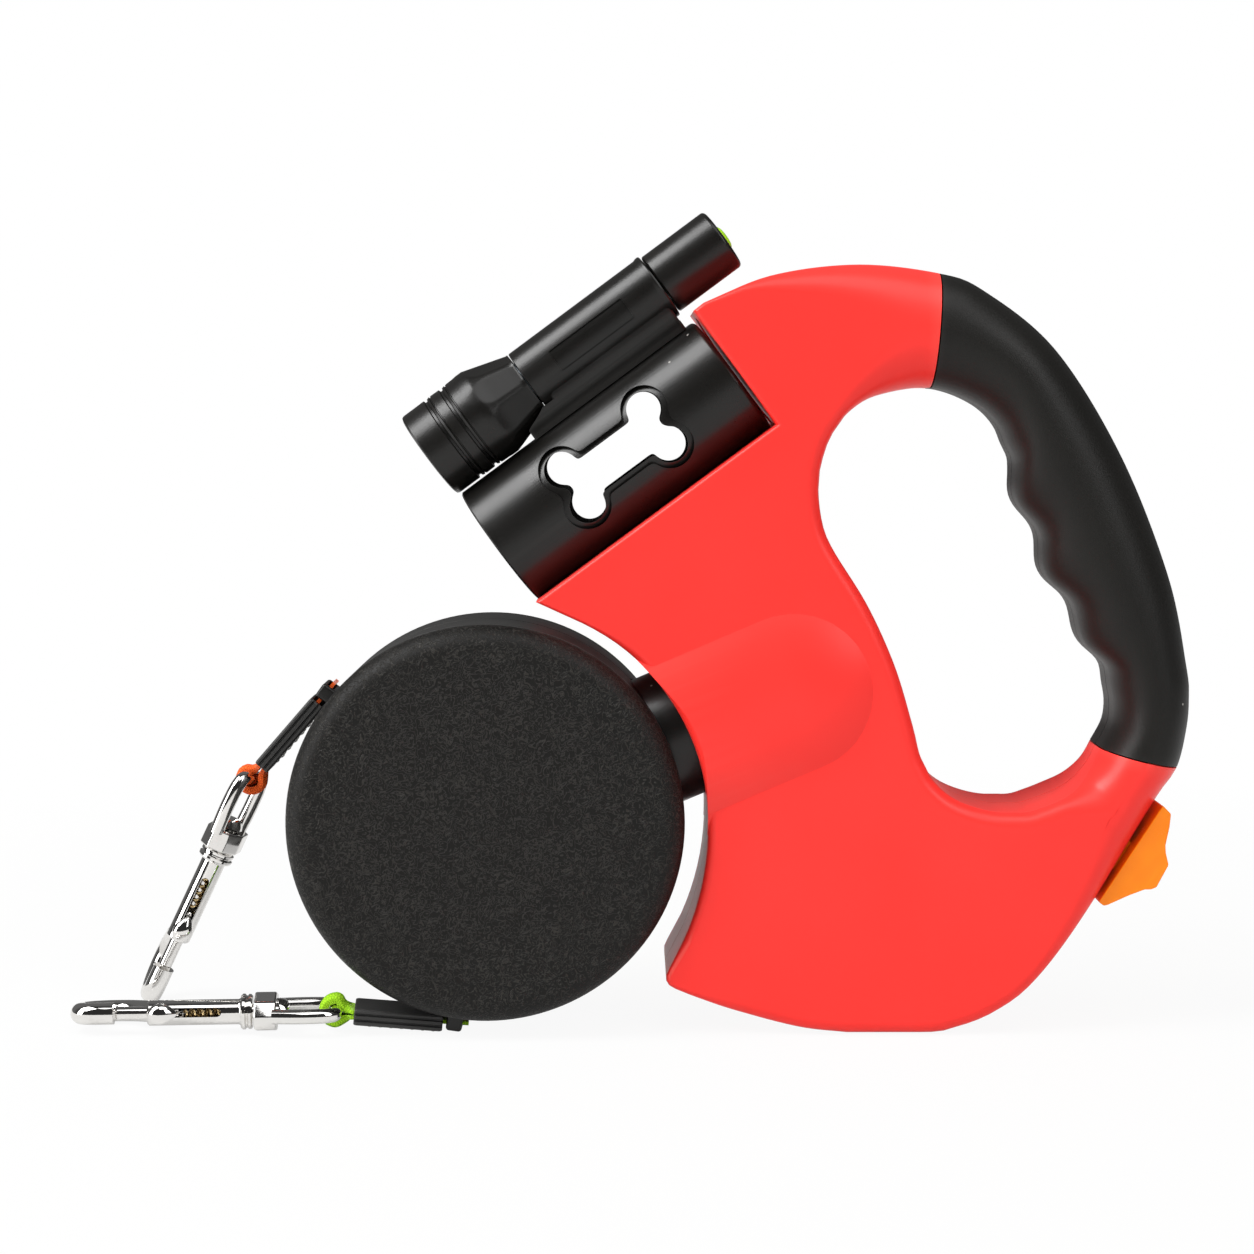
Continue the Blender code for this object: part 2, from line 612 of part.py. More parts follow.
def boss(name, side):
    """The raised boss over the neck, cut off just inside the shell's face."""
    start, end = BOSS_SPAN
    profile = [(0.0, start), (BOSS_ROUND * 0.80, start), (BOSS_ROUND * 0.93, start + 1.2),
               (BOSS_ROUND, start + 3.5), (BOSS_ROUND, end)]
    steps = 9
    for i in range(1, steps + 1):
        turn = math.pi / 2 * i / steps
        profile.append((BOSS_ROUND * math.cos(turn), end + BOSS_ROUND * math.sin(turn)))
    profile[-1] = (0.0, end + BOSS_ROUND)
    shape = bmesh.new()
    spin = [shape.verts.new((0.0, r * MM * side, z * MM)) for r, z in profile]
    edges = [shape.edges.new(pair) for pair in zip(spin, spin[1:])]
    # Only the slice that stands out of the face is needed.
    reach = math.acos((HALF_DEPTH - 1.2) / BOSS_HALF)
    turns = 14
    bmesh.ops.rotate(shape, verts=spin, cent=(0, 0, 0), matrix=Matrix.Rotation(-reach, 3, "Z"))
    bmesh.ops.spin(shape, geom=spin + edges, axis=(0, 0, 1), cent=(0, 0, 0), angle=2 * reach, steps=turns)
    bmesh.ops.remove_doubles(shape, verts=shape.verts, dist=1e-6)
    bmesh.ops.scale(shape, vec=(1.0, BOSS_HALF / BOSS_ROUND, 1.0), verts=shape.verts)
    low = side * (HALF_DEPTH - 1.0) * MM
    bmesh.ops.bisect_plane(shape, geom=shape.verts[:] + shape.edges[:] + shape.faces[:], plane_co=(0, low, 0),
                           plane_no=(0, side, 0), clear_inner=True)
    rim = [e for e in shape.edges if e.is_boundary]
    bmesh.ops.contextual_create(shape, geom=rim)
    return piece(name, from_bmesh(name, shape), None, head_frame)


def button_place(along, away):
    """x and z of a place along the buttons' edge and outwards from it."""
    dx, dz = BUTTON_DIR
    return Vector((BUTTON_START[0] + along * dx + away * dz, BUTTON_START[1] + along * dz - away * dx))


def y_rod(name, where, radius, low, high, look=None, steps=SMALL_STEPS):
    """A rod along Y, from y = low to y = high."""
    return rod(name, radius, -high, -low, look, None, (where[0], 0, where[1]), UPRIGHT, steps)


crank_place = swivel_point(*CRANK_PIVOT)
notch_turn = (0, -math.radians(NOTCH_TILT), 0)
notch_frame = place(frame("notch_frame"), None, (NOTCH_CORNER[0], 0, NOTCH_CORNER[1]), notch_turn)

for side_name, side in SIDES.items():
    shell = loft("handle_shell_" + side_name, shell_sections(side), True, RED)
    inner_face = HALF_DEPTH - WALL + 0.9
    join(shell, boss("boss_" + side_name, side))
    low, high = sorted((side * GAP / 2, side * inner_face))
    join(shell, block("saddle_" + side_name, (-17.4, low, BUSH[1] + GAP), (17.4, high, BUSH[2] - 1.0),
                      None, head_frame))
    cut(shell, rod("bush_seat_" + side_name, BUSH_R + GAP, BUSH[1] - 0.5, BUSH[2] + 2.0, None, head_frame,
                   steps=ROUND_STEPS))
    cut(shell, rod("collar_hole_" + side_name, COLLAR_R + 0.6, 30.0, BUSH[1] + 0.1, None, head_frame,
                   steps=ROUND_STEPS))
    for number, where in enumerate(SCREW_PLACES, 1):
        tag = f"_{side_name}_{number}"
        low, high = sorted((side * GAP / 2, side * inner_face))
        join(shell, y_rod("pillar" + tag, where, PILLAR_R, low, high))
        if side == NEAR:
            cut(shell, y_rod("pilot" + tag, where, SCREW_R + PILOT_ROOM, SCREW_TIP - 1.0, 2.0))
        else:
            cut(shell, y_rod("pilot" + tag, where, SCREW_R + PILOT_ROOM, -2.0, SCREW_SEAT + 2.0))
            cut(shell, y_rod("counterbore" + tag, where, SCREW_HEAD_R + 0.4, SCREW_SEAT, BOSS_HALF + 4.0))
    low, high = sorted((side * (LINK_Y[1] + 0.6), side * inner_face))
    join(shell, y_rod("pin_socket_" + side_name, crank_place, 3.4, low, high))
    low, high = sorted((side * 2.0, side * (LINK_Y[1] + 1.6)))
    cut(shell, y_rod("pin_hole_" + side_name, crank_place, PIN_R + PILOT_ROOM, low, high))
    # the tube's trough, the keel's slot and the brake button's slot
    cut(shell, rod("trough_" + side_name, TUBE_R + GAP, -NOTCH_LENGTH - 8.0, 0.4, None, notch_frame,
                   (0, 0, TUBE_AXIS), (0, math.pi / 2, 0), ROUND_STEPS))
    cut(shell, block("keel_slot_" + side_name, (KEEL[0] - GAP, -1.6 - GAP, -7.5), (KEEL[1] + GAP, 1.6 + GAP, 4.0),
                     None, notch_frame))
    slot = [button_place(a, n) for a, n in ((BUTTON_STEM[0] - 0.4, 3.0), (BUTTON_STEM[0] - 0.4, -6.0),
                                            (BUTTON_STEM[1] + BRAKE_TRAVEL + 0.4, -6.0),
                                            (BUTTON_STEM[1] + BRAKE_TRAVEL + 0.4, 3.0))]
    low, high = sorted((side * (CRANK_Y[0] - GAP), side * (CRANK_Y[1] + GAP)))
    cut(shell, plate("button_slot_" + side_name, [slot], -high, -low, None, None, (0, 0, 0), UPRIGHT))

    # grip skin
    order = [*range(len(body) - 1, len(loop)), 0]
    sections = []
    for k, (i, wave) in enumerate(zip(order, waves)):
        outer, inner, roundness = loop[i]
        shift = Vector((0, 0))
        if k in (0, len(order) - 1):
            inward = loop[order[1 if k == 0 else -2]]
            shift = (inward[0] + inward[1] - outer - inner).normalized() * GAP
        outside = half_section(outer + shift, outer_in[i], inner + shift, inner_in[i], roundness, 0.0, 3, wave)
        inside = half_section(outer + shift, outer_in[i], inner + shift, inner_in[i], roundness, SKIN, 3)
        sections.append(sided(outside + inside[::-1], side))
    loft("grip_" + side_name, sections, False, SOFT_BLACK)

for number, where in enumerate(SCREW_PLACES, 1):
    head_low = SCREW_SEAT + GAP
    head_high = head_low + SCREW_HEAD
    turned(f"shell_screw_{number}",
           ((0, head_high), (SCREW_HEAD_R, head_high), (SCREW_HEAD_R, head_low), (SCREW_R, head_low),
            (SCREW_R, SCREW_TIP), (0, SCREW_TIP)), STEEL, None, (where[0], 0, where[1]), (-math.pi / 2, 0, 0), 10)

# Swivel: bush in the handle; neck, washer and nut on the head
turned("swivel_bush", ((BUSH_R, BUSH[2]), (BUSH_R, BUSH[1]), (BUSH_FLANGE_R, BUSH[1]), (BUSH_FLANGE_R, BUSH[0]),
                       (STEM_R + GAP, BUSH[0]), (STEM_R + GAP, BUSH[2])), WHITE, head_frame, steps=20)
neck = turned("neck", ((NECK_BORE, STEM_END), (STEM_R, STEM_END), (STEM_R, COLLAR_END), (COLLAR_R, COLLAR_END),
                       (COLLAR_R, 34.0), (NECK_BORE, 34.0)), BLACK, head_frame)
inner_r = DRUM_R - CASE_WALL
cut(neck, rod("drum_space", inner_r, -30.0, 30.0, None, head_frame, (0, 0, 0), UPRIGHT, ROUND_STEPS))
cut(neck, block("finger_slot", (-FINGER_SLOT[0], -FINGER_SLOT[1], 20.0), (*FINGER_SLOT[:2], FINGER_SLOT[2]), None,
                head_frame))
for name, way in (("upper", -1), ("lower", 1)):
    low, high = sorted((way * PRONG[0], way * PRONG[1]))
    join(neck, block("prong_" + name, (low, -PRONG_HALF, PRONG[2]), (high, PRONG_HALF, 45.5), None, head_frame))
ring("neck_washer", STEM_R + GAP, BUSH_R - 0.4, *WASHER, STEEL, head_frame, steps=16)
plate("neck_nut", [circle(NUT_R, 8), circle(STEM_R + GAP, ROUND_STEPS)], *NUT, STEEL, head_frame)

# Reel head: two like modules, back to back
SCREW_SPOTS = ((28.5, 9.0), (28.5, -9.0), (-28.5, 9.0), (-28.5, -9.0))
guide_angle = math.radians(-MOUTH_ANGLE)
for side_name in SIDES:
    module = module_frames[side_name]
    hub_bore = AXLE_R + GAP
    case = turned("reel_case_" + side_name,
                  ((DRUM_R, CASE_RIM), (DRUM_R, GAP / 2), (inner_r, GAP / 2), (inner_r, WEB[0]), (hub_bore, WEB[0]),
                   (hub_bore, WEB[1]), (inner_r, WEB[1]), (inner_r, CASE_RIM)), BLACK, module)
    cut(case, rod("neck_hole_" + side_name, COLLAR_R + GAP, 36.0, 60.0, None, module, (0, 0, 0), (0, math.pi / 2, 0),
                  ROUND_STEPS))
    for number, spot in enumerate(SCREW_SPOTS, 1):
        cut(case, rod(f"case_hole_{side_name}_{number}", 2.0, -1.0, 6.0, None, module, (*spot, 0), steps=12))

    lip_r = inner_r - GAP
    profile = [(0.0, DRUM_HALF), (DRUM_R - DRUM_EDGE, DRUM_HALF)]
    for i in range(1, 5):
        turn = math.pi / 2 * i / 4
        profile.append((DRUM_R - DRUM_EDGE * (1 - math.sin(turn)), DRUM_HALF - DRUM_EDGE * (1 - math.cos(turn))))
    floor = DRUM_HALF - COVER_WALL
    profile += [(DRUM_R, CASE_RIM + GAP), (lip_r, CASE_RIM + GAP), (lip_r, CASE_RIM - 0.6),
                (lip_r - 1.6, CASE_RIM - 0.6), (lip_r - 3.8, floor), (AXLE_R + 2.4, floor),
                (AXLE_R + 2.4, REEL_TOP + 1.6), (hub_bore, REEL_TOP + 1.6), (hub_bore, floor), (0.0, floor)]
    turned("reel_cover_" + side_name, profile, GRAIN_BLACK, module)

    # reel: a toothed plate with a hub and an outer flange
    pitch = 2 * math.pi / TOOTH_COUNT
    teeth = []
    for i in range(TOOTH_COUNT):
        middle = (i + 0.5) * pitch
        half = TOOTH_SHARE * pitch / 2
        for radius, turn in ((TOOTH_ROOT, middle - half * 1.25), (TOOTH_TIP, middle - half * 0.7),
                             (TOOTH_TIP, middle + half * 0.7), (TOOTH_ROOT, middle + half * 1.25)):
            teeth.append((radius * math.cos(turn), radius * math.sin(turn)))
    plate_top = REEL_FLOOR + REEL_PLATE
    reel = plate("reel_" + side_name, [teeth, circle(hub_bore, SMALL_STEPS)], REEL_FLOOR, plate_top, WHITE, module)
    join(reel, turned("hub_" + side_name,
                      ((HUB_R, REEL_TOP - 1.4), (HUB_R, plate_top - 0.6), (HUB_R - HUB_WALL, plate_top - 0.6),
                       (HUB_R - HUB_WALL, REEL_TOP), (REEL_FLANGE_R, REEL_TOP), (REEL_FLANGE_R, REEL_TOP - 1.4)),
                      None, module, steps=18))
    ring("tape_winding_" + side_name, HUB_R + GAP, WINDING_R, plate_top + GAP, REEL_TOP - 1.4 - GAP,
         LIME_TAPE if side_name == "near" else ORANGE_TAPE, module, steps=24)

    spiral = []
    per_turn = 12
    inner_start, outer_end = hub_bore + SPRING_STRIP, HUB_R - HUB_WALL - GAP - SPRING_STRIP / 2
    count = SPRING_TURNS * per_turn
    for edge in (0.5, -0.5):
        run = []
        for i in range(count + 1):
            radius = inner_start + (outer_end - inner_start) * i / count + edge * SPRING_STRIP
            turn = 2 * math.pi * i / per_turn
            run.append((radius * math.cos(turn), radius * math.sin(turn)))
        spiral += run if edge > 0 else run[::-1]
    plate("power_spring_" + side_name, [spiral], plate_top + 0.6, REEL_TOP - 1.2, STEEL, module)

    # the mouth: a block through the cup's wall with a slot along the tape's way out
    out = Vector((math.cos(guide_angle), math.sin(guide_angle)))
    onward = Vector((out.y, -out.x))
    guide_frame = frame("guide_frame_" + side_name, module, (*(out * MOUTH_R), LEAD_Y),
                        ((*onward, 0), (0, 0, 1), (-out.x, -out.y, 0)))
    half = TAPE_HALF + GUIDE_SIDE
    guide = block("tape_guide_" + side_name, (GUIDE[0], -half, GUIDE_DEEP[0]), (GUIDE[1], half, GUIDE_DEEP[1]), BLACK,
                  guide_frame)
    window = block("guide_window_" + side_name, (GUIDE[0] - GAP, -half - GAP, GUIDE_DEEP[0] - 2.3),
                   (GUIDE[1] + GAP, half + GAP, GUIDE_DEEP[1] + 2.9), None, guide_frame)
    cut(case, window)
    slot = block("guide_slot_" + side_name, (-9.0, -TAPE_HALF - 0.7, -1.0), (9.0, TAPE_HALF + 0.7, 1.0), None,
                 guide_frame)
    cut(guide, slot)

for number, spot in enumerate(SCREW_SPOTS, 1):
    rod(f"case_screw_{number}", 1.7, -WEB[1], WEB[1], STEEL, module_frames["near"], (*spot, 0), steps=12)
    if spot[0] > 0:
        cut(neck, rod(f"prong_hole_{number}", 2.0, -5.0, 5.0, None, module_frames["near"], (*spot, 0), steps=12))
axle_end = DRUM_HALF - COVER_WALL - GAP
rod("reel_axle", AXLE_R, -axle_end, axle_end, STEEL, module_frames["near"])

# Brake plungers: a rod in a tube through the neck, each with a finger for its reel
inner_plunger = rod("brake_plunger_inner", INNER_ROD[0], INNER_ARM[0] + 0.4, INNER_ROD[1], STEEL, head_frame,
                    steps=14)
join(inner_plunger,
     block("inner_arm", (-FINGER_HALF, -1.2, INNER_ARM[0]), (FINGER_HALF, FINGER_Y[1], INNER_ARM[1]), None,
           head_frame),
     block("inner_finger", (-FINGER_HALF, FINGER_Y[0], FINGER_TIP), (FINGER_HALF, FINGER_Y[1], INNER_ARM[0] + 1.0),
           None, head_frame))
outer_plunger = rod("brake_plunger_outer", OUTER_TUBE[1], OUTER_ARM[1] - 0.5, OUTER_TUBE[2], STEEL, head_frame,
                    steps=16)
join(outer_plunger,
     block("outer_arm", (-1.9, -FINGER_Y[1], OUTER_ARM[0]), (1.9, 3.2, OUTER_ARM[1]), None, head_frame),
     block("outer_finger", (-FINGER_HALF, -FINGER_Y[1], FINGER_TIP), (FINGER_HALF, -FINGER_Y[0], OUTER_ARM[0] + 1.0),
           None, head_frame))
cut(outer_plunger, rod("tube_bore", OUTER_TUBE[0], 40.0, 90.0, None, head_frame, steps=14))
boolean(outer_plunger, rod("finger_trim", NECK_BORE + 3.0, 30.0, 90.0, None, head_frame, steps=24), "INTERSECT")

# Cranks, links and buttons
pad_low = INNER_ROD[0] + GAP + PAD_DROP
pad_places = {
    "near": ((pad_low, pad_low + 1.5), OUTER_TUBE[2] + GAP, (-CRANK_Y[1], 1.4)),
    "far": ((-1.5, 1.5), INNER_ROD[1] + GAP, (-1.4, CRANK_Y[1])),
}
link_pin = (crank_place[0] + CRANK_ARM[0], crank_place[1] + CRANK_ARM[1])
button_pin = button_place(*BUTTON_PIN)
y_rod("crank_pin", crank_place, PIN_R, -LINK_Y[1] - 1.2, LINK_Y[1] + 1.2, STEEL, 14)
for side_name, side in SIDES.items():
    across, along, pad_y = pad_places[side_name]
    tip = Vector(swivel_point(along + PAD_DEPTH / 2, sum(across) / 2)) - Vector(crank_place)
    low, high = sorted((-side * CRANK_Y[0], -side * CRANK_Y[1]))
    arm = bar_outline(((0, 0), tip), BAR_R)
    pivot = (crank_place[0], 0, crank_place[1])
    crank = plate("brake_crank_" + side_name, [arm], low, high, BLACK, None, pivot, UPRIGHT)
    foot = bar_outline(((0, 0), CRANK_ARM), BAR_R * 0.96)
    join(crank,
         plate("crank_foot_" + side_name, [foot], low + 0.1, high - 0.1, None, None, pivot, UPRIGHT),
         block("crank_pad_" + side_name, (-across[1], pad_y[0], along), (-across[0], pad_y[1], along + PAD_DEPTH),
               None, head_frame))
    low, high = sorted((side * (CRANK_Y[1] - 1.0), side * (LINK_Y[1] + 0.4)))
    join(crank, y_rod("link_pin_" + side_name, link_pin, PIN_R, low, high, steps=12))
    cut(crank, y_rod("crank_bore_" + side_name, crank_place, PIN_R + PILOT_ROOM, -LINK_Y[1], LINK_Y[1], steps=14))

    low, high = sorted((-side * LINK_Y[0], -side * LINK_Y[1]))
    reach = button_pin - Vector(link_pin)
    plate("brake_link_" + side_name,
          [bar_outline(((0, 0), reach), BAR_R), circle(PIN_R + 0.3, 12), circle(PIN_R + 0.6, 12, reach)],
          low, high, STEEL, None, (link_pin[0], 0, link_pin[1]), UPRIGHT)

    low, high = sorted((-side * BUTTON_Y[0], -side * BUTTON_Y[1]))
    cap = [button_place(*p) for p in BUTTON_CAP]
    look = ORANGE if side == NEAR else LIME
    button = plate("brake_button_" + side_name, [cap], low, high, look, None, (0, 0, 0), UPRIGHT)
    low, high = sorted((-side * CRANK_Y[0], -side * CRANK_Y[1]))
    stem = [button_place(a, n) for a, n in ((BUTTON_STEM[0], 1.8), (BUTTON_STEM[0], -6.0),
                                            (BUTTON_PIN[0] - 3, -11.0), (BUTTON_PIN[0] + 3, -11.0),
                                            (BUTTON_STEM[1], -6.0), (BUTTON_STEM[1], 1.8))]
    join(button, plate("button_stem_" + side_name, [stem], low, high, None, None, (0, 0, 0), UPRIGHT))
    low, high = sorted((side * (CRANK_Y[1] - 1.0), side * (LINK_Y[1] + 0.4)))
    join(button, y_rod("button_pin_" + side_name, button_pin, PIN_R, low, high, steps=12))

# Bag tube: open at its lower end, with a window on each side, a keel between the shells and the torch's rail
tube_frame = place(frame("tube_frame"), notch_frame, (0, 0, TUBE_AXIS), (0, math.pi / 2, 0))
bore = TUBE_R - TUBE_WALL
bag_tube = turned("bag_tube",
                  ((0, -TUBE_GAP), (TUBE_R - 1.0, -TUBE_GAP), (TUBE_R, -TUBE_GAP - 1.0), (TUBE_R, -NOTCH_LENGTH),
                   (bore, -NOTCH_LENGTH), (bore, -TUBE_GAP - TUBE_WALL), (0, -TUBE_GAP - TUBE_WALL)),
                  BLACK, tube_frame)
lobe, lobe_along, lobe_across = BONE_LOBE
bone = []
lobe_gap = math.asin((lobe_across - BONE_SHAFT) / lobe)
corner_turns = ((1, 1), (-1, 1), (-1, -1), (1, -1))
for sx, sy in corner_turns:
    arc = []
    for i in range(8):
        turn = math.pi + lobe_gap + (-1.39 * math.pi - lobe_gap) * i / 7
        arc.append((sx * (lobe_along + lobe * math.cos(turn)), sy * (lobe_across + lobe * math.sin(turn))))
    bone += arc if sx * sy < 0 else arc[::-1]
bone = [(BONE_PLACE[0] + x, BONE_PLACE[1] + y) for x, y in bone]
cut(bag_tube, plate("bone_window", [bone], -30.0, 30.0, None, notch_frame, (0, 0, TUBE_AXIS), UPRIGHT))
low_n = TUBE_AXIS - TUBE_R
join(bag_tube,
     block("keel_web", (KEEL[0], -1.6, -6.0), (KEEL[1], 1.6, low_n + 0.9), None, notch_frame),
     block("keel_foot", (KEEL[0] + 0.5, -4.6, -7.2), (KEEL[1] - 0.5, 4.6, -5.0), None, notch_frame))
top_n = TUBE_AXIS + TUBE_R
rail_n = TORCH_AXIS - TORCH_BARREL_R - RAIL_DROP
rail_top = rail_n + 0.2
web_half, rail_half = RAIL_HALF
join(bag_tube,
     block("rail_web", (RAIL[0], -web_half, top_n - 1.0), (RAIL[1], web_half, rail_n), None, notch_frame),
     block("rail_head", (RAIL[0] + 0.2, -rail_half, rail_top - RAIL_HEAD), (RAIL[1] - 0.2, rail_half, rail_top), None,
           notch_frame))

# Torch, from its front; local Z points backwards along the tube
torch_frame = place(frame("torch_frame"), notch_frame, (TORCH_FRONT, 0, TORCH_AXIS), (0, math.pi / 2, 0))
groove = 0.6
head_profile = [(TORCH_BARREL_R, TORCH_HEAD_END), (TORCH_HEAD_R, TORCH_RING[1]), (TORCH_HEAD_R, TORCH_RING[0])]
for where in reversed(TORCH_GROOVES):
    head_profile += [(TORCH_FRONT_R, where + 0.8), (TORCH_FRONT_R - groove, where), (TORCH_FRONT_R, where - 0.8)]
head_profile += [(TORCH_FRONT_R, 0.6), (TORCH_FRONT_R - 0.6, 0.0), (TORCH_MOUTH_R, 0.0), (TORCH_MOUTH_R, 10.5),
                 (TORCH_BORE + 0.2, 15.0), (TORCH_BORE + 0.2, TORCH_HEAD_END)]
turned("torch_head", head_profile, BLACK, torch_frame, steps=22)
rod("torch_lens", TORCH_MOUTH_R - GAP, 0.9, 2.3, CLEAR, torch_frame, steps=24)
cup_r = TORCH_MOUTH_R - 0.4
turned("torch_reflector",
       ((2.2, 14.0), (5.0, 13.4), (cup_r, 9.6), (cup_r, 2.6), (cup_r - 0.6, 2.6), (1.6, 12.4), (1.6, 14.0)), CHROME,
       torch_frame, steps=16)
barrel = ring("torch_barrel", TORCH_BORE, TORCH_BARREL_R, TORCH_HEAD_END + GAP, TORCH_TAIL_START, BLACK, torch_frame,
              steps=24)
shoe_top = TORCH_AXIS - TORCH_BORE - 0.6
shoe = block("torch_shoe", (RAIL[0] + 0.4, -SHOE_HALF, top_n + GAP), (RAIL[1] - 0.2, SHOE_HALF, shoe_top), None,
             notch_frame)
join(barrel, shoe)
cut(barrel,
    block("rail_slot", (RAIL[0] - 9.0, -web_half - GAP, top_n - 3.0), (RAIL[1] + 9.0, web_half + GAP, rail_n - 0.6),
          None, notch_frame),
    block("rail_groove", (RAIL[0] - 9.5, -rail_half - GAP, rail_top - RAIL_HEAD - GAP),
          (RAIL[1] + 9.5, rail_half + GAP, rail_top + GAP), None, notch_frame))
cap_hole = TORCH_CAP_R[0] + 0.4
tail_start = TORCH_TAIL_START + GAP
turned("torch_tail", ((cap_hole, TORCH_END), (TORCH_TAIL_R - 0.8, TORCH_END), (TORCH_TAIL_R, TORCH_END - 0.8),
                      (TORCH_TAIL_R, tail_start), (TORCH_BORE, tail_start), (TORCH_BORE, TORCH_END - 2.0),
                      (cap_hole, TORCH_END - 2.0)), BLACK, torch_frame, steps=24)
cell_r, cell_start, cell_end = TORCH_CELL
turned("torch_cell", ((0, cell_end + 0.8), (1.9, cell_end + 0.8), (1.9, cell_end), (cell_r, cell_end),
                      (cell_r, cell_start), (0, cell_start)), CELL, torch_frame, steps=14)
cap_r, cap_flange = TORCH_CAP_R
turned("torch_button",
       ((0, TORCH_END + 1.7), (1.6, TORCH_END + 1.5), (cap_r, TORCH_END + 0.7), (cap_r, TORCH_END - 2.6),
        (cap_flange, TORCH_END - 2.6), (cap_flange, TORCH_END - 4.4), (0, TORCH_END - 4.4)), LIME,
       torch_frame, steps=16)


# Leads: a sleeve, the tape through it and round the hook's eye, and the hook
def plane_dir(angle):
    return Vector((math.cos(math.radians(angle)), 0, math.sin(math.radians(angle))))


def lead_axes(angle, yaw, side):
    """Axes along the lead, across it towards +Y, and square to both."""
    way = plane_dir(angle) + Vector((0, math.tan(math.radians(yaw)) * side, 0))
    way.normalize()
    up = way.cross(Vector((0, 1, 0))).normalized()
    return way, up.cross(way), up


def hook_axes(angle, yaw, roll, side):
    """Axes of a hook: Z from its eye to its tip and X from the bolt to the hook's arm."""
    way, across, up = lead_axes(angle, yaw, side)
    turn = math.radians(roll)
    x = across * math.cos(turn) - up * math.sin(turn)
    return x, way.cross(x), way


def offset_line(points, distance):
    """The points moved sideways, to their left."""
    normals = inset_normals([Vector(p) for p in points], False, 1)
    return [Vector(p) + n * distance for p, n in zip(points, normals)]


def tape_line():
    """The tape's middle line along a lead, out through the sleeve and back round the eye."""
    wrap = LOOP_R + TAPE_T / 2
    points = [(-2.0, 0.0), (SLEEVE[0] + 1.0, 0.0), (SLEEVE[0] + 4.0, -TAPE_LAYER), (SLEEVE[1] + GAP, -TAPE_LAYER)]
    for i in range(9):
        turn = math.radians(-105 + 210 * i / 8)
        points.append((EYE_BAR + wrap * math.cos(turn), wrap * math.sin(turn)))
    return points + [(SLEEVE[1] + GAP, TAPE_LAYER), (SLEEVE[0] + 6.0, TAPE_LAYER)]


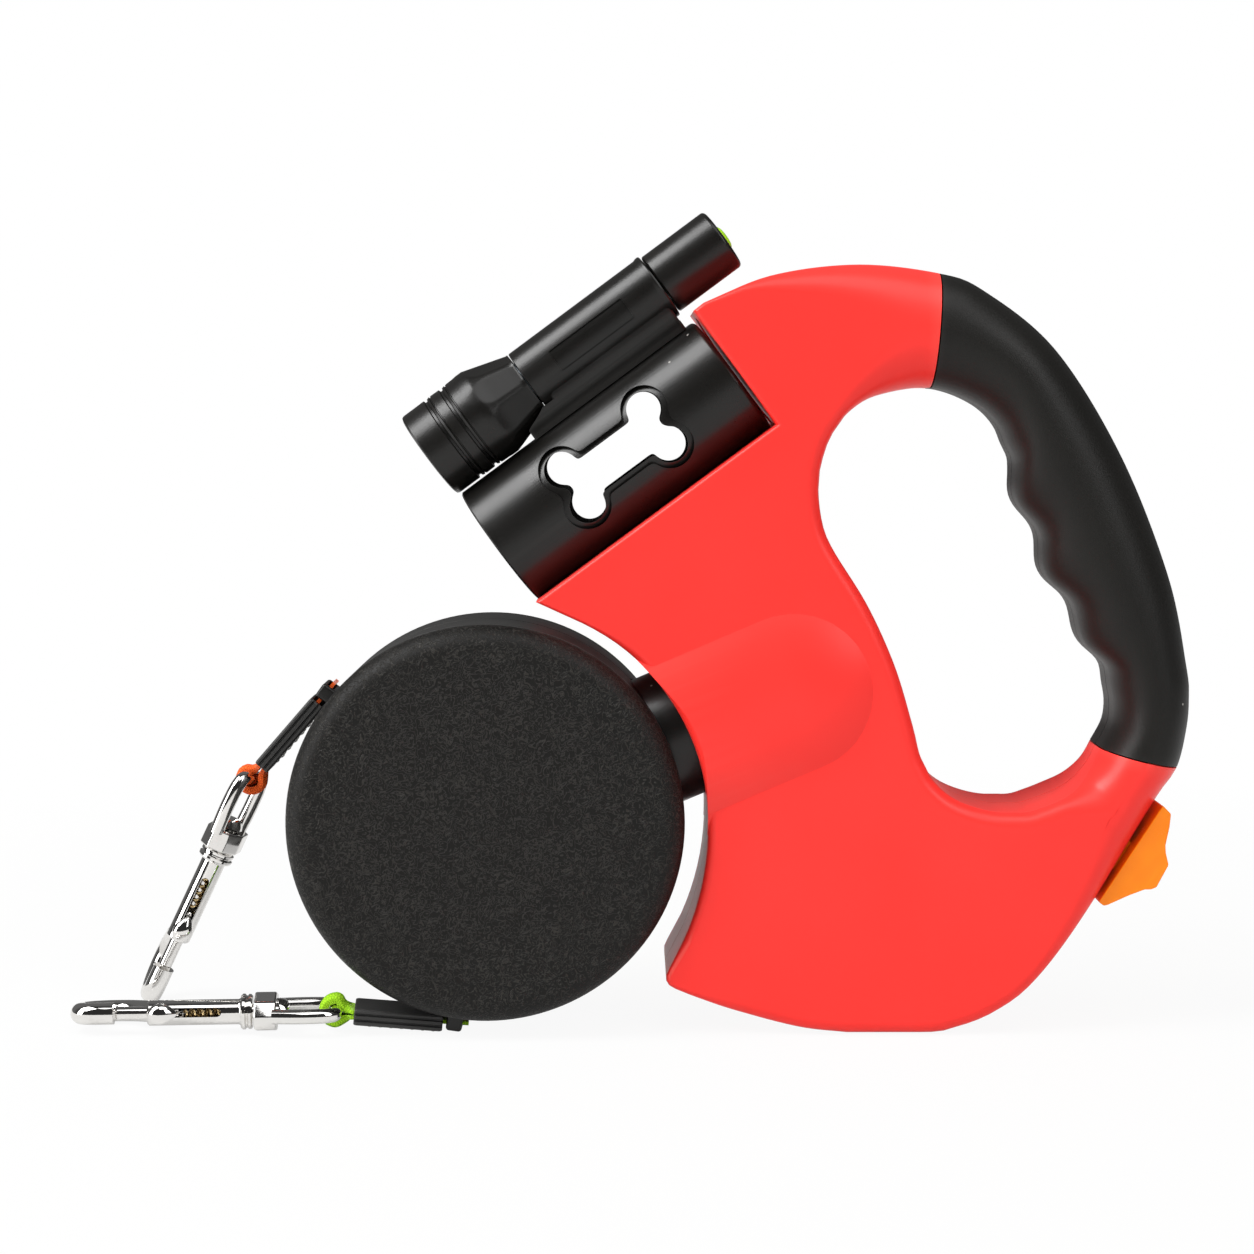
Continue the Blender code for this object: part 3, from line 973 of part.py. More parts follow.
for side_name, side in SIDES.items():
    mouth_angle = SWIVEL_TILT + (MOUTH_ANGLE if side == FAR else -MOUTH_ANGLE)
    mouth = head_point(MOUTH_R, mouth_angle)
    way, across, up = lead_axes(LEAD_DIRS[side_name], LEAD_YAW[side_name], side)
    lead = frame("lead_frame_" + side_name, None, (mouth.x, side * LEAD_Y, mouth.y), (way, across, up))
    half_w, half_t = SLEEVE_HALF
    sleeve = block("sleeve_" + side_name, (SLEEVE[0], -half_w, -half_t), (SLEEVE[1], half_w, half_t), SOFT_BLACK, lead)
    cut(sleeve, block("sleeve_slot_" + side_name, (0.0, -TAPE_HALF - 0.4, -TAPE_LAYER - TAPE_T / 2 - GAP),
                      (40.0, TAPE_HALF + 0.4, TAPE_LAYER + TAPE_T / 2 + GAP), None, lead))
    line = tape_line()
    band = offset_line(line, TAPE_T / 2) + offset_line(line, -TAPE_T / 2)[::-1]
    loop_part = plate("tape_loop_" + side_name, [band], -TAPE_HALF, TAPE_HALF,
                      LIME_TAPE if side == NEAR else ORANGE_TAPE, lead, (0, 0, 0), UPRIGHT)
    for vertex in loop_part.data.vertices:
        if vertex.co.x > (SLEEVE[1] + TAPE_T) * MM:
            vertex.co.z *= LOOP_GATHER

    # the hook's own frame starts where the eye's bar lies in the loop
    bar = Vector((mouth.x, side * LEAD_Y, mouth.y)) + way * EYE_BAR
    yaw = LEAD_YAW[side_name]
    angle = HOOK_DIRS[side_name]
    hook = frame("hook_frame_" + side_name, None, bar, hook_axes(angle, yaw, HOOK_ROLL[side_name], side))
    eye = frame("eye_frame_" + side_name, None, bar, hook_axes(angle, yaw, EYE_ROLL[side_name], side))

    bow = ((0.915, EYE_BASE[0] + 0.8), (1.0, 7.5), (0.965, 3.0), (0.83, 0.9), (0.61, 0.0))
    wire = [(-EYE_HALF * x, 0, z) for x, z in bow] + [(EYE_HALF * x, 0, z) for x, z in reversed(bow)]
    eye_part = tube("hook_eye_" + side_name, wire, EYE_WIRE, CHROME, eye)
    octagon = circle(1.0, 8)
    join(eye_part, plate("eye_base_" + side_name, [[(EYE_BASE_R[0] * x, EYE_BASE_R[1] * y) for x, y in octagon]],
                         *EYE_BASE, None, eye))
    cut(eye_part, rod("eye_bore_" + side_name, 1.9, 5.0, 25.0, None, eye, steps=14))

    body_part = turned("hook_body_" + side_name,
                       ((0, 40.6), (HOOK_BARREL_R, 40.6), (HOOK_BARREL_R, 20.3), (HOOK_RING_R, 19.9), (HOOK_RING_R, 18.3),
                        (1.5, 17.8), (1.5, 12.2), (2.9, 12.2), (2.2, 10.4), (0, 9.8)), CHROME, hook, steps=16)
    arm = [(x, 0, z) for x, z in HOOK_ARM]
    radii = [0.5, 0.8, 0.95] + [1.0] * (len(arm) - 3)
    join(body_part, tube("hook_arm_" + side_name, arm, HOOK_ARM_R, None, hook, radii=radii))
    cut(body_part, rod("barrel_bore_" + side_name, BOLT_R + GAP, 22.0, 44.0, None, hook, steps=16))
    cut(body_part, block("knob_slot_" + side_name, (-6.0, -0.95, 24.6), (-0.4, 0.95, 44.0), None, hook))
    bolt = rod("hook_bolt_" + side_name, BOLT_R, *BOLT, CHROME, hook, steps=14)
    join(bolt, block("knob_neck_" + side_name, (-3.6, -0.65, 34.4), (-0.5, 0.65, 39.6), None, hook))
    knob = bmesh.new()
    bmesh.ops.create_uvsphere(knob, u_segments=12, v_segments=8, radius=1.0)
    bmesh.ops.scale(knob, vec=Vector((1.6, 2.3, 3.4)) * MM, verts=knob.verts)
    join(bolt, piece("knob_" + side_name, from_bmesh("knob", knob), None, hook, (-4.7, 0, 37.2)))
    points = HOOK_COILS * COIL_POINTS
    coil = []
    for i in range(points + 1):
        turn = 2 * math.pi * i / COIL_POINTS
        coil.append((COIL_R * math.cos(turn), COIL_R * math.sin(turn),
                     COIL_SPAN[0] + (COIL_SPAN[1] - COIL_SPAN[0]) * i / points))
    tube("hook_spring_" + side_name, coil, COIL_WIRE, SPRING_BRASS, hook, sides=0)
    nearest = min((Vector(a) - Vector(b)).length for i, a in enumerate(coil) for b in coil[i + COIL_POINTS // 2:])
    print(f"hook_spring_{side_name}: least gap between turns {nearest - 2 * COIL_WIRE:.2f} mm")
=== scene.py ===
import json
import math

import bmesh
import bpy
from mathutils import Matrix, Vector

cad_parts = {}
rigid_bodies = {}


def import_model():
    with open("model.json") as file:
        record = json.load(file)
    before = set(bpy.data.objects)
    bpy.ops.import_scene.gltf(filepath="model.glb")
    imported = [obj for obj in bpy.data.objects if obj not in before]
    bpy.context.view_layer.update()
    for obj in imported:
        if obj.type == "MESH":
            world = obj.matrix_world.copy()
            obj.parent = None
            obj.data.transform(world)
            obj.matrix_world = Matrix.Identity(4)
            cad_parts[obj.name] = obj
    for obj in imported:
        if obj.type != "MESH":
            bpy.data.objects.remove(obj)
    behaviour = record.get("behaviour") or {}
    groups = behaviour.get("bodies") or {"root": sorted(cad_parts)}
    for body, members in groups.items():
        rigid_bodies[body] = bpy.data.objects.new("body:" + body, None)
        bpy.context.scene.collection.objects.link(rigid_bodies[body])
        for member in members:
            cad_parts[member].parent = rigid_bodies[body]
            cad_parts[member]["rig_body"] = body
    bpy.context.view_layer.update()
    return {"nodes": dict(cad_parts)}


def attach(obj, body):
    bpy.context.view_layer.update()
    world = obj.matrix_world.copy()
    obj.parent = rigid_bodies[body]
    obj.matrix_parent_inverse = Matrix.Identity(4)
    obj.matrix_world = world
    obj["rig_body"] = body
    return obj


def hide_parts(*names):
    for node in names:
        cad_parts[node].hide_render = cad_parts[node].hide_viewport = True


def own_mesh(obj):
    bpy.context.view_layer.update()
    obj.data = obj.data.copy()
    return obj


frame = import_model()
nodes = frame["nodes"]
print("frame loaded with", len(nodes), "nodes")

mm = 0.001
shiftX = -0.8  # the row frame's x = 0 is the middle of the handle and head
gap = 0.3
sides = {"Near": -1, "Far": 1}


# places: every frame turns local millimetres into the row frame's metres
def frameAt(origin, x, y, z):
    turn = Matrix((Vector(x), Vector(y), Vector(z))).transposed().to_4x4()
    turn.translation = Vector(origin) + Vector((shiftX, 0, 0))
    return Matrix.Scale(mm, 4) @ turn


def moved(place, at=(0, 0, 0), turn=0.0, axis="Y"):
    return place @ Matrix.Translation(at) @ Matrix.Rotation(turn, 4, axis)


head = dict(centre=(-54.4, 46.5), tilt=math.radians(23.0), drumR=43.0, drumHalf=22.5, caseRim=16.3, caseWall=2.4)
notch = dict(corner=(8.1, 132.2), tilt=math.radians(36.4), length=64.0, height=30.0)

swivel = Vector((math.cos(head["tilt"]), 0, math.sin(head["tilt"])))
swivelUp = Vector((-math.sin(head["tilt"]), 0, math.cos(head["tilt"])))
headMiddle = Vector((head["centre"][0], 0, head["centre"][1]))
plainFrame = frameAt((0, 0, 0), (1, 0, 0), (0, 1, 0), (0, 0, 1))
headFrame = frameAt(headMiddle, -swivelUp, (0, 1, 0), swivel)
reelFrames = {"Near": frameAt(headMiddle, swivel, swivelUp, (0, -1, 0)),
              "Far": frameAt(headMiddle, swivel, -swivelUp, (0, 1, 0))}
notchWay = Vector((math.cos(notch["tilt"]), 0, math.sin(notch["tilt"])))
notchUp = Vector((-math.sin(notch["tilt"]), 0, math.cos(notch["tilt"])))
notchFrame = frameAt((notch["corner"][0], 0, notch["corner"][1]), notchWay, (0, 1, 0), notchUp)


def headPoint(radius, angle):
    turn = math.radians(angle)
    return Vector((head["centre"][0] + radius * math.cos(turn), head["centre"][1] + radius * math.sin(turn)))


def notchPoint(s, n):
    return Vector((notch["corner"][0] + s * notchWay.x + n * notchUp.x, notch["corner"][1] + s * notchWay.z + n * notchUp.z))


# mesh tools
def newPiece(name, points, faces, place=plainFrame):
    mesh = bpy.data.meshes.new(name)
    mesh.from_pydata([place @ Vector(p) for p in points], [], faces)
    shape = bmesh.new()
    shape.from_mesh(mesh)
    bmesh.ops.remove_doubles(shape, verts=shape.verts, dist=1e-7)
    bmesh.ops.dissolve_degenerate(shape, edges=shape.edges, dist=1e-8)
    bmesh.ops.recalc_face_normals(shape, faces=shape.faces)
    shape.to_mesh(mesh)
    shape.free()
    piece = bpy.data.objects.new(name, mesh)
    bpy.context.scene.collection.objects.link(piece)
    return piece


def skin(name, rings, place=plainFrame, along=False, caps=True):
    count, points, faces = len(rings[0]), [p for ring in rings for p in ring], []
    for i in range(len(rings) if along else len(rings) - 1):
        k = (i + 1) % len(rings)
        for j in range(count):
            n = (j + 1) % count
            faces.append((i * count + j, i * count + n, k * count + n, k * count + j))
    if caps and not along:
        last = (len(rings) - 1) * count
        faces += [tuple(range(count)), tuple(last + j for j in range(count))]
    return newPiece(name, points, faces, place)


def lathe(name, profile, place, steps=96, hollow=False):
    rings = [[(r * math.cos(2 * math.pi * j / steps), r * math.sin(2 * math.pi * j / steps), z) for j in range(steps)]
             for r, z in profile]
    return skin(name, rings, place, along=hollow)


def prism(name, outline, low, high, place):  # outline in local XY, pushed along local Z
    return skin(name, [[(x, y, low) for x, y in outline], [(x, y, high) for x, y in outline]], place)


def upright(place):  # outlines then lie in the local XZ plane and are pushed towards -Y
    return place @ Matrix.Rotation(math.pi / 2, 4, "X")


def box(name, low, high, place):
    outline = [(low[0], low[1]), (high[0], low[1]), (high[0], high[1]), (low[0], high[1])]
    return prism(name, outline, low[2], high[2], place)


def sweep(name, path, radii, place, sides=16, squash=1.0):  # a round bar along points, caps closed
    path = [Vector(p) for p in path]
    rings, side = [], None
    for i, p in enumerate(path):
        way = (path[min(i + 1, len(path) - 1)] - path[max(i - 1, 0)]).normalized()
        if side is None:
            side = way.orthogonal().normalized()
        side = (side - way * side.dot(way)).normalized()
        up = way.cross(side)
        radius = radii[i] if isinstance(radii, (list, tuple)) else radii
        rings.append([p + (side * math.cos(2 * math.pi * j / sides) + up * squash * math.sin(2 * math.pi * j / sides)) * radius
                      for j in range(sides)])
    return skin(name, rings, place)


def smoothLine(points, count, before=None, after=None):  # count + 1 places spaced evenly along a smooth curve, or one for each share
    ends = [Vector(p) for p in points]
    ends = [Vector(before) if before else 2 * ends[0] - ends[1]] + ends + [Vector(after) if after else 2 * ends[-1] - ends[-2]]
    fine = []
    for a, b, c, d in zip(ends, ends[1:], ends[2:], ends[3:]):
        for i in range(24):
            t = i / 24
            fine.append(0.5 * (2 * b + (c - a) * t + (2 * a - 5 * b + 4 * c - d) * t * t
                               + (3 * b - a - 3 * c + d) * t ** 3))
    fine.append(ends[-2])
    lengths = [0.0]
    for a, b in zip(fine, fine[1:]):
        lengths.append(lengths[-1] + (b - a).length)
    shares = count if isinstance(count, (list, tuple)) else [i / count for i in range(count + 1)]
    places, k = [], 1
    for share in shares:
        want = lengths[-1] * share
        while k < len(lengths) - 1 and lengths[k] < want:
            k += 1
        places.append(fine[k - 1].lerp(fine[k], (want - lengths[k - 1]) / max(1e-9, lengths[k] - lengths[k - 1])))
    return places


def filleted(points, radius, steps=4, closed=False):  # rounds the corners of an outline; radius may be one for each corner
    points = [Vector(p) for p in points]
    count, made = len(points), []
    for i, p in enumerate(points):
        r = radius[i] if isinstance(radius, (list, tuple)) else radius
        if r <= 0 or (not closed and i in (0, count - 1)):
            made.append(tuple(p))
            continue
        a, b = points[i - 1] - p, points[(i + 1) % count] - p
        turn = a.angle(b, math.pi)
        if turn > 3.1:
            made.append(tuple(p))
            continue
        reach = min(r / math.tan(turn / 2), 0.48 * a.length, 0.48 * b.length)
        start, end = p + a.normalized() * reach, p + b.normalized() * reach
        for k in range(steps + 1):
            t = k / steps
            made.append(tuple(start * (1 - t) ** 2 + p * 2 * t * (1 - t) + end * t * t))
    return made


def settle(piece):  # its modifiers become its mesh
    bpy.context.view_layer.update()
    made = bpy.data.meshes.new_from_object(piece.evaluated_get(bpy.context.evaluated_depsgraph_get()))
    old, name = piece.data, piece.data.name
    piece.modifiers.clear()
    piece.data = made
    bpy.data.meshes.remove(old)
    made.name = name
    return piece


def carve(piece, *others, how="DIFFERENCE"):
    for other in others:
        step = piece.modifiers.new("carve", "BOOLEAN")
        step.operation, step.solver, step.object = how, "EXACT", other
    settle(piece)
    for other in others:
        bpy.data.objects.remove(other)
    return piece


def weld(piece, *others):
    return carve(piece, *others, how="UNION")


def bevelled(piece, width, segments=3, angle=35.0):
    step = piece.modifiers.new("round", "BEVEL")
    step.width, step.segments, step.limit_method = width * mm, segments, "ANGLE"
    step.angle_limit = math.radians(angle)
    step.harden_normals = False
    return settle(piece)


def smoothed(piece, angle=32.0, weighted=True):
    piece.data.polygons.foreach_set("use_smooth", [True] * len(piece.data.polygons))
    piece.data.set_sharp_from_angle(angle=math.radians(angle))
    if weighted:
        step = piece.modifiers.new("even", "WEIGHTED_NORMAL")
        step.keep_sharp = True
    return piece


def dress(piece, finish, slot, *standsFor):  # it rides on the body of the node that it stands for
    piece.data.materials.clear()
    piece.data.materials.append(finish)
    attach(piece, nodes[standsFor[0]]["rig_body"])
    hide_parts(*standsFor)
    return piece


# camera and studio
camera = dict(place=(-0.02467, -0.560, 0.1346), pitch=4.8, lens=73.06)
studio = dict(key=15.0, side=4.5, top=5.0, left=7.0, world=(0.27, 0.40), room=0.03, back=0.14, floorGlow=0.93, shadowReach=(0.16, 0.42))

lens = bpy.data.cameras.new("camera")
lens.lens, lens.sensor_width = camera["lens"], 36.0
lens.clip_start, lens.clip_end = 0.01, 100.0
eye = bpy.data.objects.new("camera", lens)
eye.location = camera["place"]
eye.rotation_euler = (math.radians(90 - camera["pitch"]), 0, 0)
bpy.context.scene.collection.objects.link(eye)
bpy.context.scene.camera = eye
bpy.context.scene.view_settings.view_transform = "Standard"


class Wire:  # a socket that Python expressions work on
    def __init__(self, tree, socket=None):
        self.tree, self.socket = tree, socket

    def node(self, kind, settings=None, sockets=None, out=0):
        made = self.tree.nodes.new(kind)
        for name, value in (settings or {}).items():
            if name == "stops":
                steps = made.color_ramp.elements
                while len(steps) < len(value):
                    steps.new(0.5)
                for step, (place, shade) in zip(steps, value):
                    step.position, step.color = place, (*shade, 1.0) if len(shade) == 3 else (shade[0],) * 3 + (1.0,)
            else:
                setattr(made, name, value)
        for name, value in (sockets or {}).items():
            if isinstance(value, Wire):
                self.tree.links.new(value.socket, made.inputs[name])
            else:
                made.inputs[name].default_value = value
        return Wire(self.tree, made.outputs[out])

    def into(self, target):
        self.tree.links.new(self.socket, target)

    def maths(self, operation, one, two=0.0, clamp=False):
        return self.node("ShaderNodeMath", {"operation": operation, "use_clamp": clamp}, {0: one, 1: two})

    def __add__(self, other):
        return self.maths("ADD", self, other)

    __radd__ = __add__

    def __mul__(self, other):
        return self.maths("MULTIPLY", self, other)

    __rmul__ = __mul__

    def __sub__(self, other):
        return self.maths("SUBTRACT", self, other)

    def __rsub__(self, other):
        return self.maths("SUBTRACT", other, self)

    def __truediv__(self, other):
        return self.maths("DIVIDE", self, other)

    def __rtruediv__(self, other):
        return self.maths("DIVIDE", other, self)

    def __pow__(self, other):
        return self.maths("POWER", self, other)

    def __abs__(self):
        return self.maths("ABSOLUTE", self)


def newFinish(name, plain):
    finish = bpy.data.materials.new(name)
    finish.use_nodes = True
    shader = finish.node_tree.nodes["Principled BSDF"]
    for socket, value in plain.items():
        shader.inputs[socket].default_value = value
    return finish, Wire(finish.node_tree), shader.inputs


def noise(wire, where, scale, detail=3.0, distortion=0.0, rough=0.5):
    return wire.node("ShaderNodeTexNoise", None, {"Vector": where, "Scale": scale, "Detail": detail, "Roughness": rough,
                                                  "Distortion": distortion})


def spread(wire, value, low, high, toLow=0.0, toHigh=1.0):  # a value from low to high, laid over another span
    return wire.node("ShaderNodeMapRange", {"clamp": True},
                     {"Value": value, "From Min": low, "From Max": high, "To Min": toLow, "To Max": toHigh})


def blendColour(wire, share, one, two, how="MIX"):
    made = wire.node("ShaderNodeMix", {"data_type": "RGBA", "blend_type": how}, {0: share}, out=2)
    for index, value in ((6, one), (7, two)):
        target = made.socket.node.inputs[index]
        if isinstance(value, Wire):
            value.into(target)
        else:
            target.default_value = (*value, 1.0)
    return made


def bump(wire, height, strength, distance):
    return wire.node("ShaderNodeBump", None, {"Height": height, "Strength": strength, "Distance": distance})


def surfacePlace(wire):
    return wire.node("ShaderNodeTexCoord", out=3)


# floor and world: white to the camera and in reflections from behind, with a dim room in front
floorMesh = bpy.data.meshes.new("floor")
floorMesh.from_pydata([(-6, -6, -0.0002), (6, -6, -0.0002), (6, 6, -0.0002), (-6, 6, -0.0002)], [], [(0, 1, 2, 3)])
floor = bpy.data.objects.new("floor", floorMesh)
bpy.context.scene.collection.objects.link(floor)
white = (1.0, 1.0, 1.0, 1.0)


def mixShader(wire, share, one, two):
    return wire.node("ShaderNodeMixShader", None, {0: share, 1: one, 2: two})


def rays(wire):  # camera rays, then mirrored and transmitted ones
    path = wire.node("ShaderNodeLightPath")
    other = [Wire(wire.tree, path.socket.node.outputs[index]) for index in (3, 6)]
    return path, wire.maths("MAXIMUM", *other)


floorFinish = bpy.data.materials.new("floorFinish")
floorFinish.use_nodes = True
floorWire = Wire(floorFinish.node_tree)
floorFinish.node_tree.nodes.clear()
seen, mirrored = rays(floorWire)
spot = floorWire.node("ShaderNodeNewGeometry")
away = floorWire.node("ShaderNodeVectorMath", {"operation": "LENGTH"}, {0: spot}, out=1)
frontBack = floorWire.node("ShaderNodeSeparateXYZ", None, {0: spot}, out=1)
glowing = spread(floorWire, away, *studio["shadowReach"], studio["floorGlow"], 1.0)
lit = floorWire.maths("MAXIMUM", seen * glowing, mirrored * spread(floorWire, frontBack, -0.4, -0.02, 0.05, 0.42))
paper = floorWire.node("ShaderNodeBsdfDiffuse", None, {"Color": (0.6, 0.6, 0.59, 1.0)})
glow = floorWire.node("ShaderNodeEmission", None, {"Color": white, "Strength": 1.0})
floorOut = floorFinish.node_tree.nodes.new("ShaderNodeOutputMaterial")
mixShader(floorWire, lit, paper, glow).into(floorOut.inputs["Surface"])
floorMesh.materials.append(floorFinish)

sky = bpy.data.worlds.new("studioWorld")
bpy.context.scene.world = sky
sky.use_nodes = True
skyWire = Wire(sky.node_tree)
sky.node_tree.nodes.clear()
skySeen, skyMirrored = rays(skyWire)
skyBack = skyWire.node("ShaderNodeSeparateXYZ", None, {0: skyWire.node("ShaderNodeTexCoord")}, out=1)
shine = {name: skyWire.node("ShaderNodeBackground", None, {"Color": white, "Strength": strength})
         for name, strength in (("room", studio["room"]), ("low", studio["world"][0]), ("high", studio["world"][1]), ("back", studio["back"]),
                                ("white", 1.0))}
plainSky = mixShader(skyWire, spread(skyWire, skyBack, -0.9, 0.2), shine["low"], shine["high"])
mirrorSky = mixShader(skyWire, spread(skyWire, skyBack, -0.1, 0.4), shine["room"], shine["back"])
skyOut = sky.node_tree.nodes.new("ShaderNodeOutputWorld")
mixShader(skyWire, skySeen, mixShader(skyWire, skyMirrored, plainSky, mirrorSky), shine["white"]).into(skyOut.inputs["Surface"])


def softBox(name, place, aim, size, power):
    lamp = bpy.data.lights.new(name, "AREA")
    lamp.shape, lamp.size, lamp.size_y, lamp.energy = "RECTANGLE", size[0], size[1], power
    thing = bpy.data.objects.new(name, lamp)
    thing.location = place
    thing.rotation_euler = (Vector(aim) - Vector(place)).to_track_quat("-Z", "Y").to_euler()
    bpy.context.scene.collection.objects.link(thing)
    return thing


softBox("keyLamp", (-0.76, -0.33, 1.02), (0, 0, 0.09), (0.66, 0.66), studio["key"])
softBox("leftLamp", (-1.05, -0.42, 0.26), (0, 0, 0.09), (0.45, 0.9), studio["left"])
softBox("sideLamp", (0.80, -0.85, 0.70), (0, 0, 0.09), (0.5, 0.7), studio["side"])
softBox("topLamp", (0.2, -0.45, 1.15), (0, 0, 0.09), (1.0, 0.7), studio["top"])
print("camera, floor and lamps set")

# finishes
def moulded(name, look):  # plastics and rubbers: broad unevenness, fine grain, worn edges and dust
    finish, wire, shader = newFinish(name, look["plain"])
    place = surfacePlace(wire)
    broad = noise(wire, place, look["patch"], 2.0)
    fine = noise(wire, place, look["grain"], 4.0)
    colour = blendColour(wire, spread(wire, broad, 0.35, 0.65), look["colour"], look["shade"])
    edge = spread(wire, wire.node("ShaderNodeNewGeometry", out=7), 0.52, 0.62) * look["wear"]
    colour = blendColour(wire, edge, colour, look["worn"])
    cells = wire.node("ShaderNodeTexVoronoi", None, {"Vector": place, "Scale": look["dustScale"]})
    chosen = wire.node("ShaderNodeSeparateColor", None, {0: Wire(wire.tree, cells.socket.node.outputs[1])})
    dust = wire.maths("LESS_THAN", cells, 0.07) * wire.maths("GREATER_THAN", chosen, 1.0 - look["dust"])
    colour = blendColour(wire, dust * 0.6, colour, (0.55, 0.53, 0.5))
    colour.into(shader["Base Color"])
    rough = look["rough"] + (fine - 0.5) * look["roughSpan"] + (broad - 0.5) * 0.12
    wire.maths("ADD", rough, dust * 0.3, clamp=True).into(shader["Roughness"])
    bump(wire, fine, look["bump"], 0.00012).into(shader["Normal"])
    return finish


redShell = dict(colour=(0.97, 0.036, 0.029), shade=(0.94, 0.032, 0.025), worn=(1.0, 0.16, 0.13), wear=0.35, rough=0.36,
                roughSpan=0.16, patch=26.0, grain=2600.0, bump=0.10, dust=0.03, dustScale=160.0,
                plain={"Specular IOR Level": 0.3})
softGrip = dict(colour=(0.0095, 0.0088, 0.0076), shade=(0.0075, 0.0069, 0.0060), worn=(0.04, 0.038, 0.036), wear=0.2, rough=0.44,
                roughSpan=0.2, patch=40.0, grain=3800.0, bump=0.35, dust=0.05, dustScale=230.0,
                plain={"Specular IOR Level": 0.26})
satinBlack = dict(colour=(0.0056, 0.0051, 0.0044), shade=(0.0044, 0.0040, 0.0035), worn=(0.03, 0.028, 0.026), wear=0.2, rough=0.31,
                  roughSpan=0.14, patch=60.0, grain=3000.0, bump=0.10, dust=0.10, dustScale=260.0,
                  plain={"Specular IOR Level": 0.4})
thumbOrange = dict(colour=(1.0, 0.250, 0.001), shade=(0.97, 0.225, 0.001), worn=(1.0, 0.34, 0.004), wear=0.15, rough=0.24,
                   roughSpan=0.1, patch=120.0, grain=2400.0, bump=0.05, dust=0.03, dustScale=300.0,
                   plain={"Specular IOR Level": 0.3, "Coat Weight": 0.1, "Coat Roughness": 0.08})
switchLime = dict(colour=(0.42, 0.80, 0.012), shade=(0.34, 0.70, 0.008), worn=(0.6, 0.9, 0.1), wear=0.3, rough=0.28,
                  roughSpan=0.1, patch=160.0, grain=2400.0, bump=0.05, dust=0.03, dustScale=300.0,
                  plain={"Coat Weight": 0.15, "Coat Roughness": 0.1})
sleeveRubber = dict(colour=(0.016, 0.0155, 0.015), shade=(0.011, 0.0108, 0.0105), worn=(0.09, 0.088, 0.085), wear=0.3, rough=0.5,
                    roughSpan=0.2, patch=140.0, grain=4200.0, bump=0.3, dust=0.06, dustScale=320.0,
                    plain={"Specular IOR Level": 0.45})
whiteAcetal = dict(colour=(0.80, 0.80, 0.77), shade=(0.72, 0.72, 0.69), worn=(0.9, 0.9, 0.88), wear=0.2, rough=0.4,
                   roughSpan=0.1, patch=60.0, grain=2000.0, bump=0.06, dust=0.02, dustScale=200.0,
                   plain={"Subsurface Weight": 0.0})
redFinish = moulded("redFinish", redShell)
gripFinish = moulded("gripFinish", softGrip)
blackFinish = moulded("blackFinish", satinBlack)
orangeFinish = moulded("orangeFinish", thumbOrange)
limeFinish = moulded("limeFinish", switchLime)
sleeveFinish = moulded("sleeveFinish", sleeveRubber)
acetalFinish = moulded("acetalFinish", whiteAcetal)
drumWall = dict(satinBlack, colour=(0.017, 0.0164, 0.0154), shade=(0.013, 0.0126, 0.0118), rough=0.42, grain=2200.0, bump=0.2)
caseFinish = moulded("caseFinish", drumWall)

drumGrain = dict(colour=(0.0250, 0.0228, 0.0194), hollow=(0.0044, 0.0040, 0.0034), scale=620.0, swirl=2.2, rough=0.40, depth=0.8)


def grained(name, look):  # wormy moulded leather grain
    finish, wire, shader = newFinish(name, {"Specular IOR Level": 0.25})
    place = surfacePlace(wire)
    worms = abs(noise(wire, place, look["scale"], 1.0, look["swirl"]) - 0.5)
    ridge = 1 - spread(wire, worms, 0.008, 0.055)
    fine = noise(wire, place, look["scale"] * 3.0, 3.0)
    broad = noise(wire, place, 30.0, 2.0)
    height = ridge * 0.8 + fine * 0.35
    blendColour(wire, spread(wire, ridge, 0.0, 1.0), look["hollow"], look["colour"]).into(shader["Base Color"])
    (look["rough"] + (broad - 0.5) * 0.12 + (1 - ridge) * 0.12).into(shader["Roughness"])
    bump(wire, height, look["depth"], 0.00016).into(shader["Normal"])
    return finish


grainFinish = grained("grainFinish", drumGrain)

polished = dict(colour=(0.80, 0.785, 0.765), grime=(0.42, 0.40, 0.37), rough=0.055, roughSpan=0.05, scratch=0.06)
plainSteel = dict(colour=(0.58, 0.575, 0.57), grime=(0.36, 0.35, 0.34), rough=0.26, roughSpan=0.14, scratch=0.2)
springBrass = dict(colour=(0.66, 0.50, 0.26), grime=(0.30, 0.21, 0.09), rough=0.24, roughSpan=0.12, scratch=0.1)
torchMirror = dict(colour=(0.86, 0.86, 0.87), grime=(0.70, 0.70, 0.71), rough=0.06, roughSpan=0.04, scratch=0.02)


def metal(name, look):  # handling marks in the gloss and a little grime in patches
    finish, wire, shader = newFinish(name, {"Metallic": 1.0})
    place = surfacePlace(wire)
    patches = noise(wire, place, 180.0, 4.0)
    streaks = noise(wire, wire.node("ShaderNodeVectorMath", {"operation": "MULTIPLY"}, {0: place, 1: (240.0, 900.0, 240.0)}),
                    4.0, 3.0)
    blendColour(wire, spread(wire, patches, 0.56, 0.80) * 0.5, look["colour"], look["grime"]).into(shader["Base Color"])
    (look["rough"] + spread(wire, patches, 0.5, 0.8) * look["roughSpan"] + spread(wire, streaks, 0.6, 0.75) * 0.03
     ).into(shader["Roughness"])
    bump(wire, streaks, look["scratch"], 0.00004).into(shader["Normal"])
    return finish


chromeFinish = metal("chromeFinish", polished)
steelFinish = metal("steelFinish", plainSteel)
brassFinish = metal("brassFinish", springBrass)
mirrorFinish = metal("mirrorFinish", torchMirror)

orangeWeb = dict(colour=(0.92, 0.135, 0.010), hollow=(0.66, 0.075, 0.005))
limeWeb = dict(colour=(0.42, 0.80, 0.014), hollow=(0.27, 0.55, 0.008))
weave = dict(row=0.55, column=0.5, rough=0.75, depth=0.55)


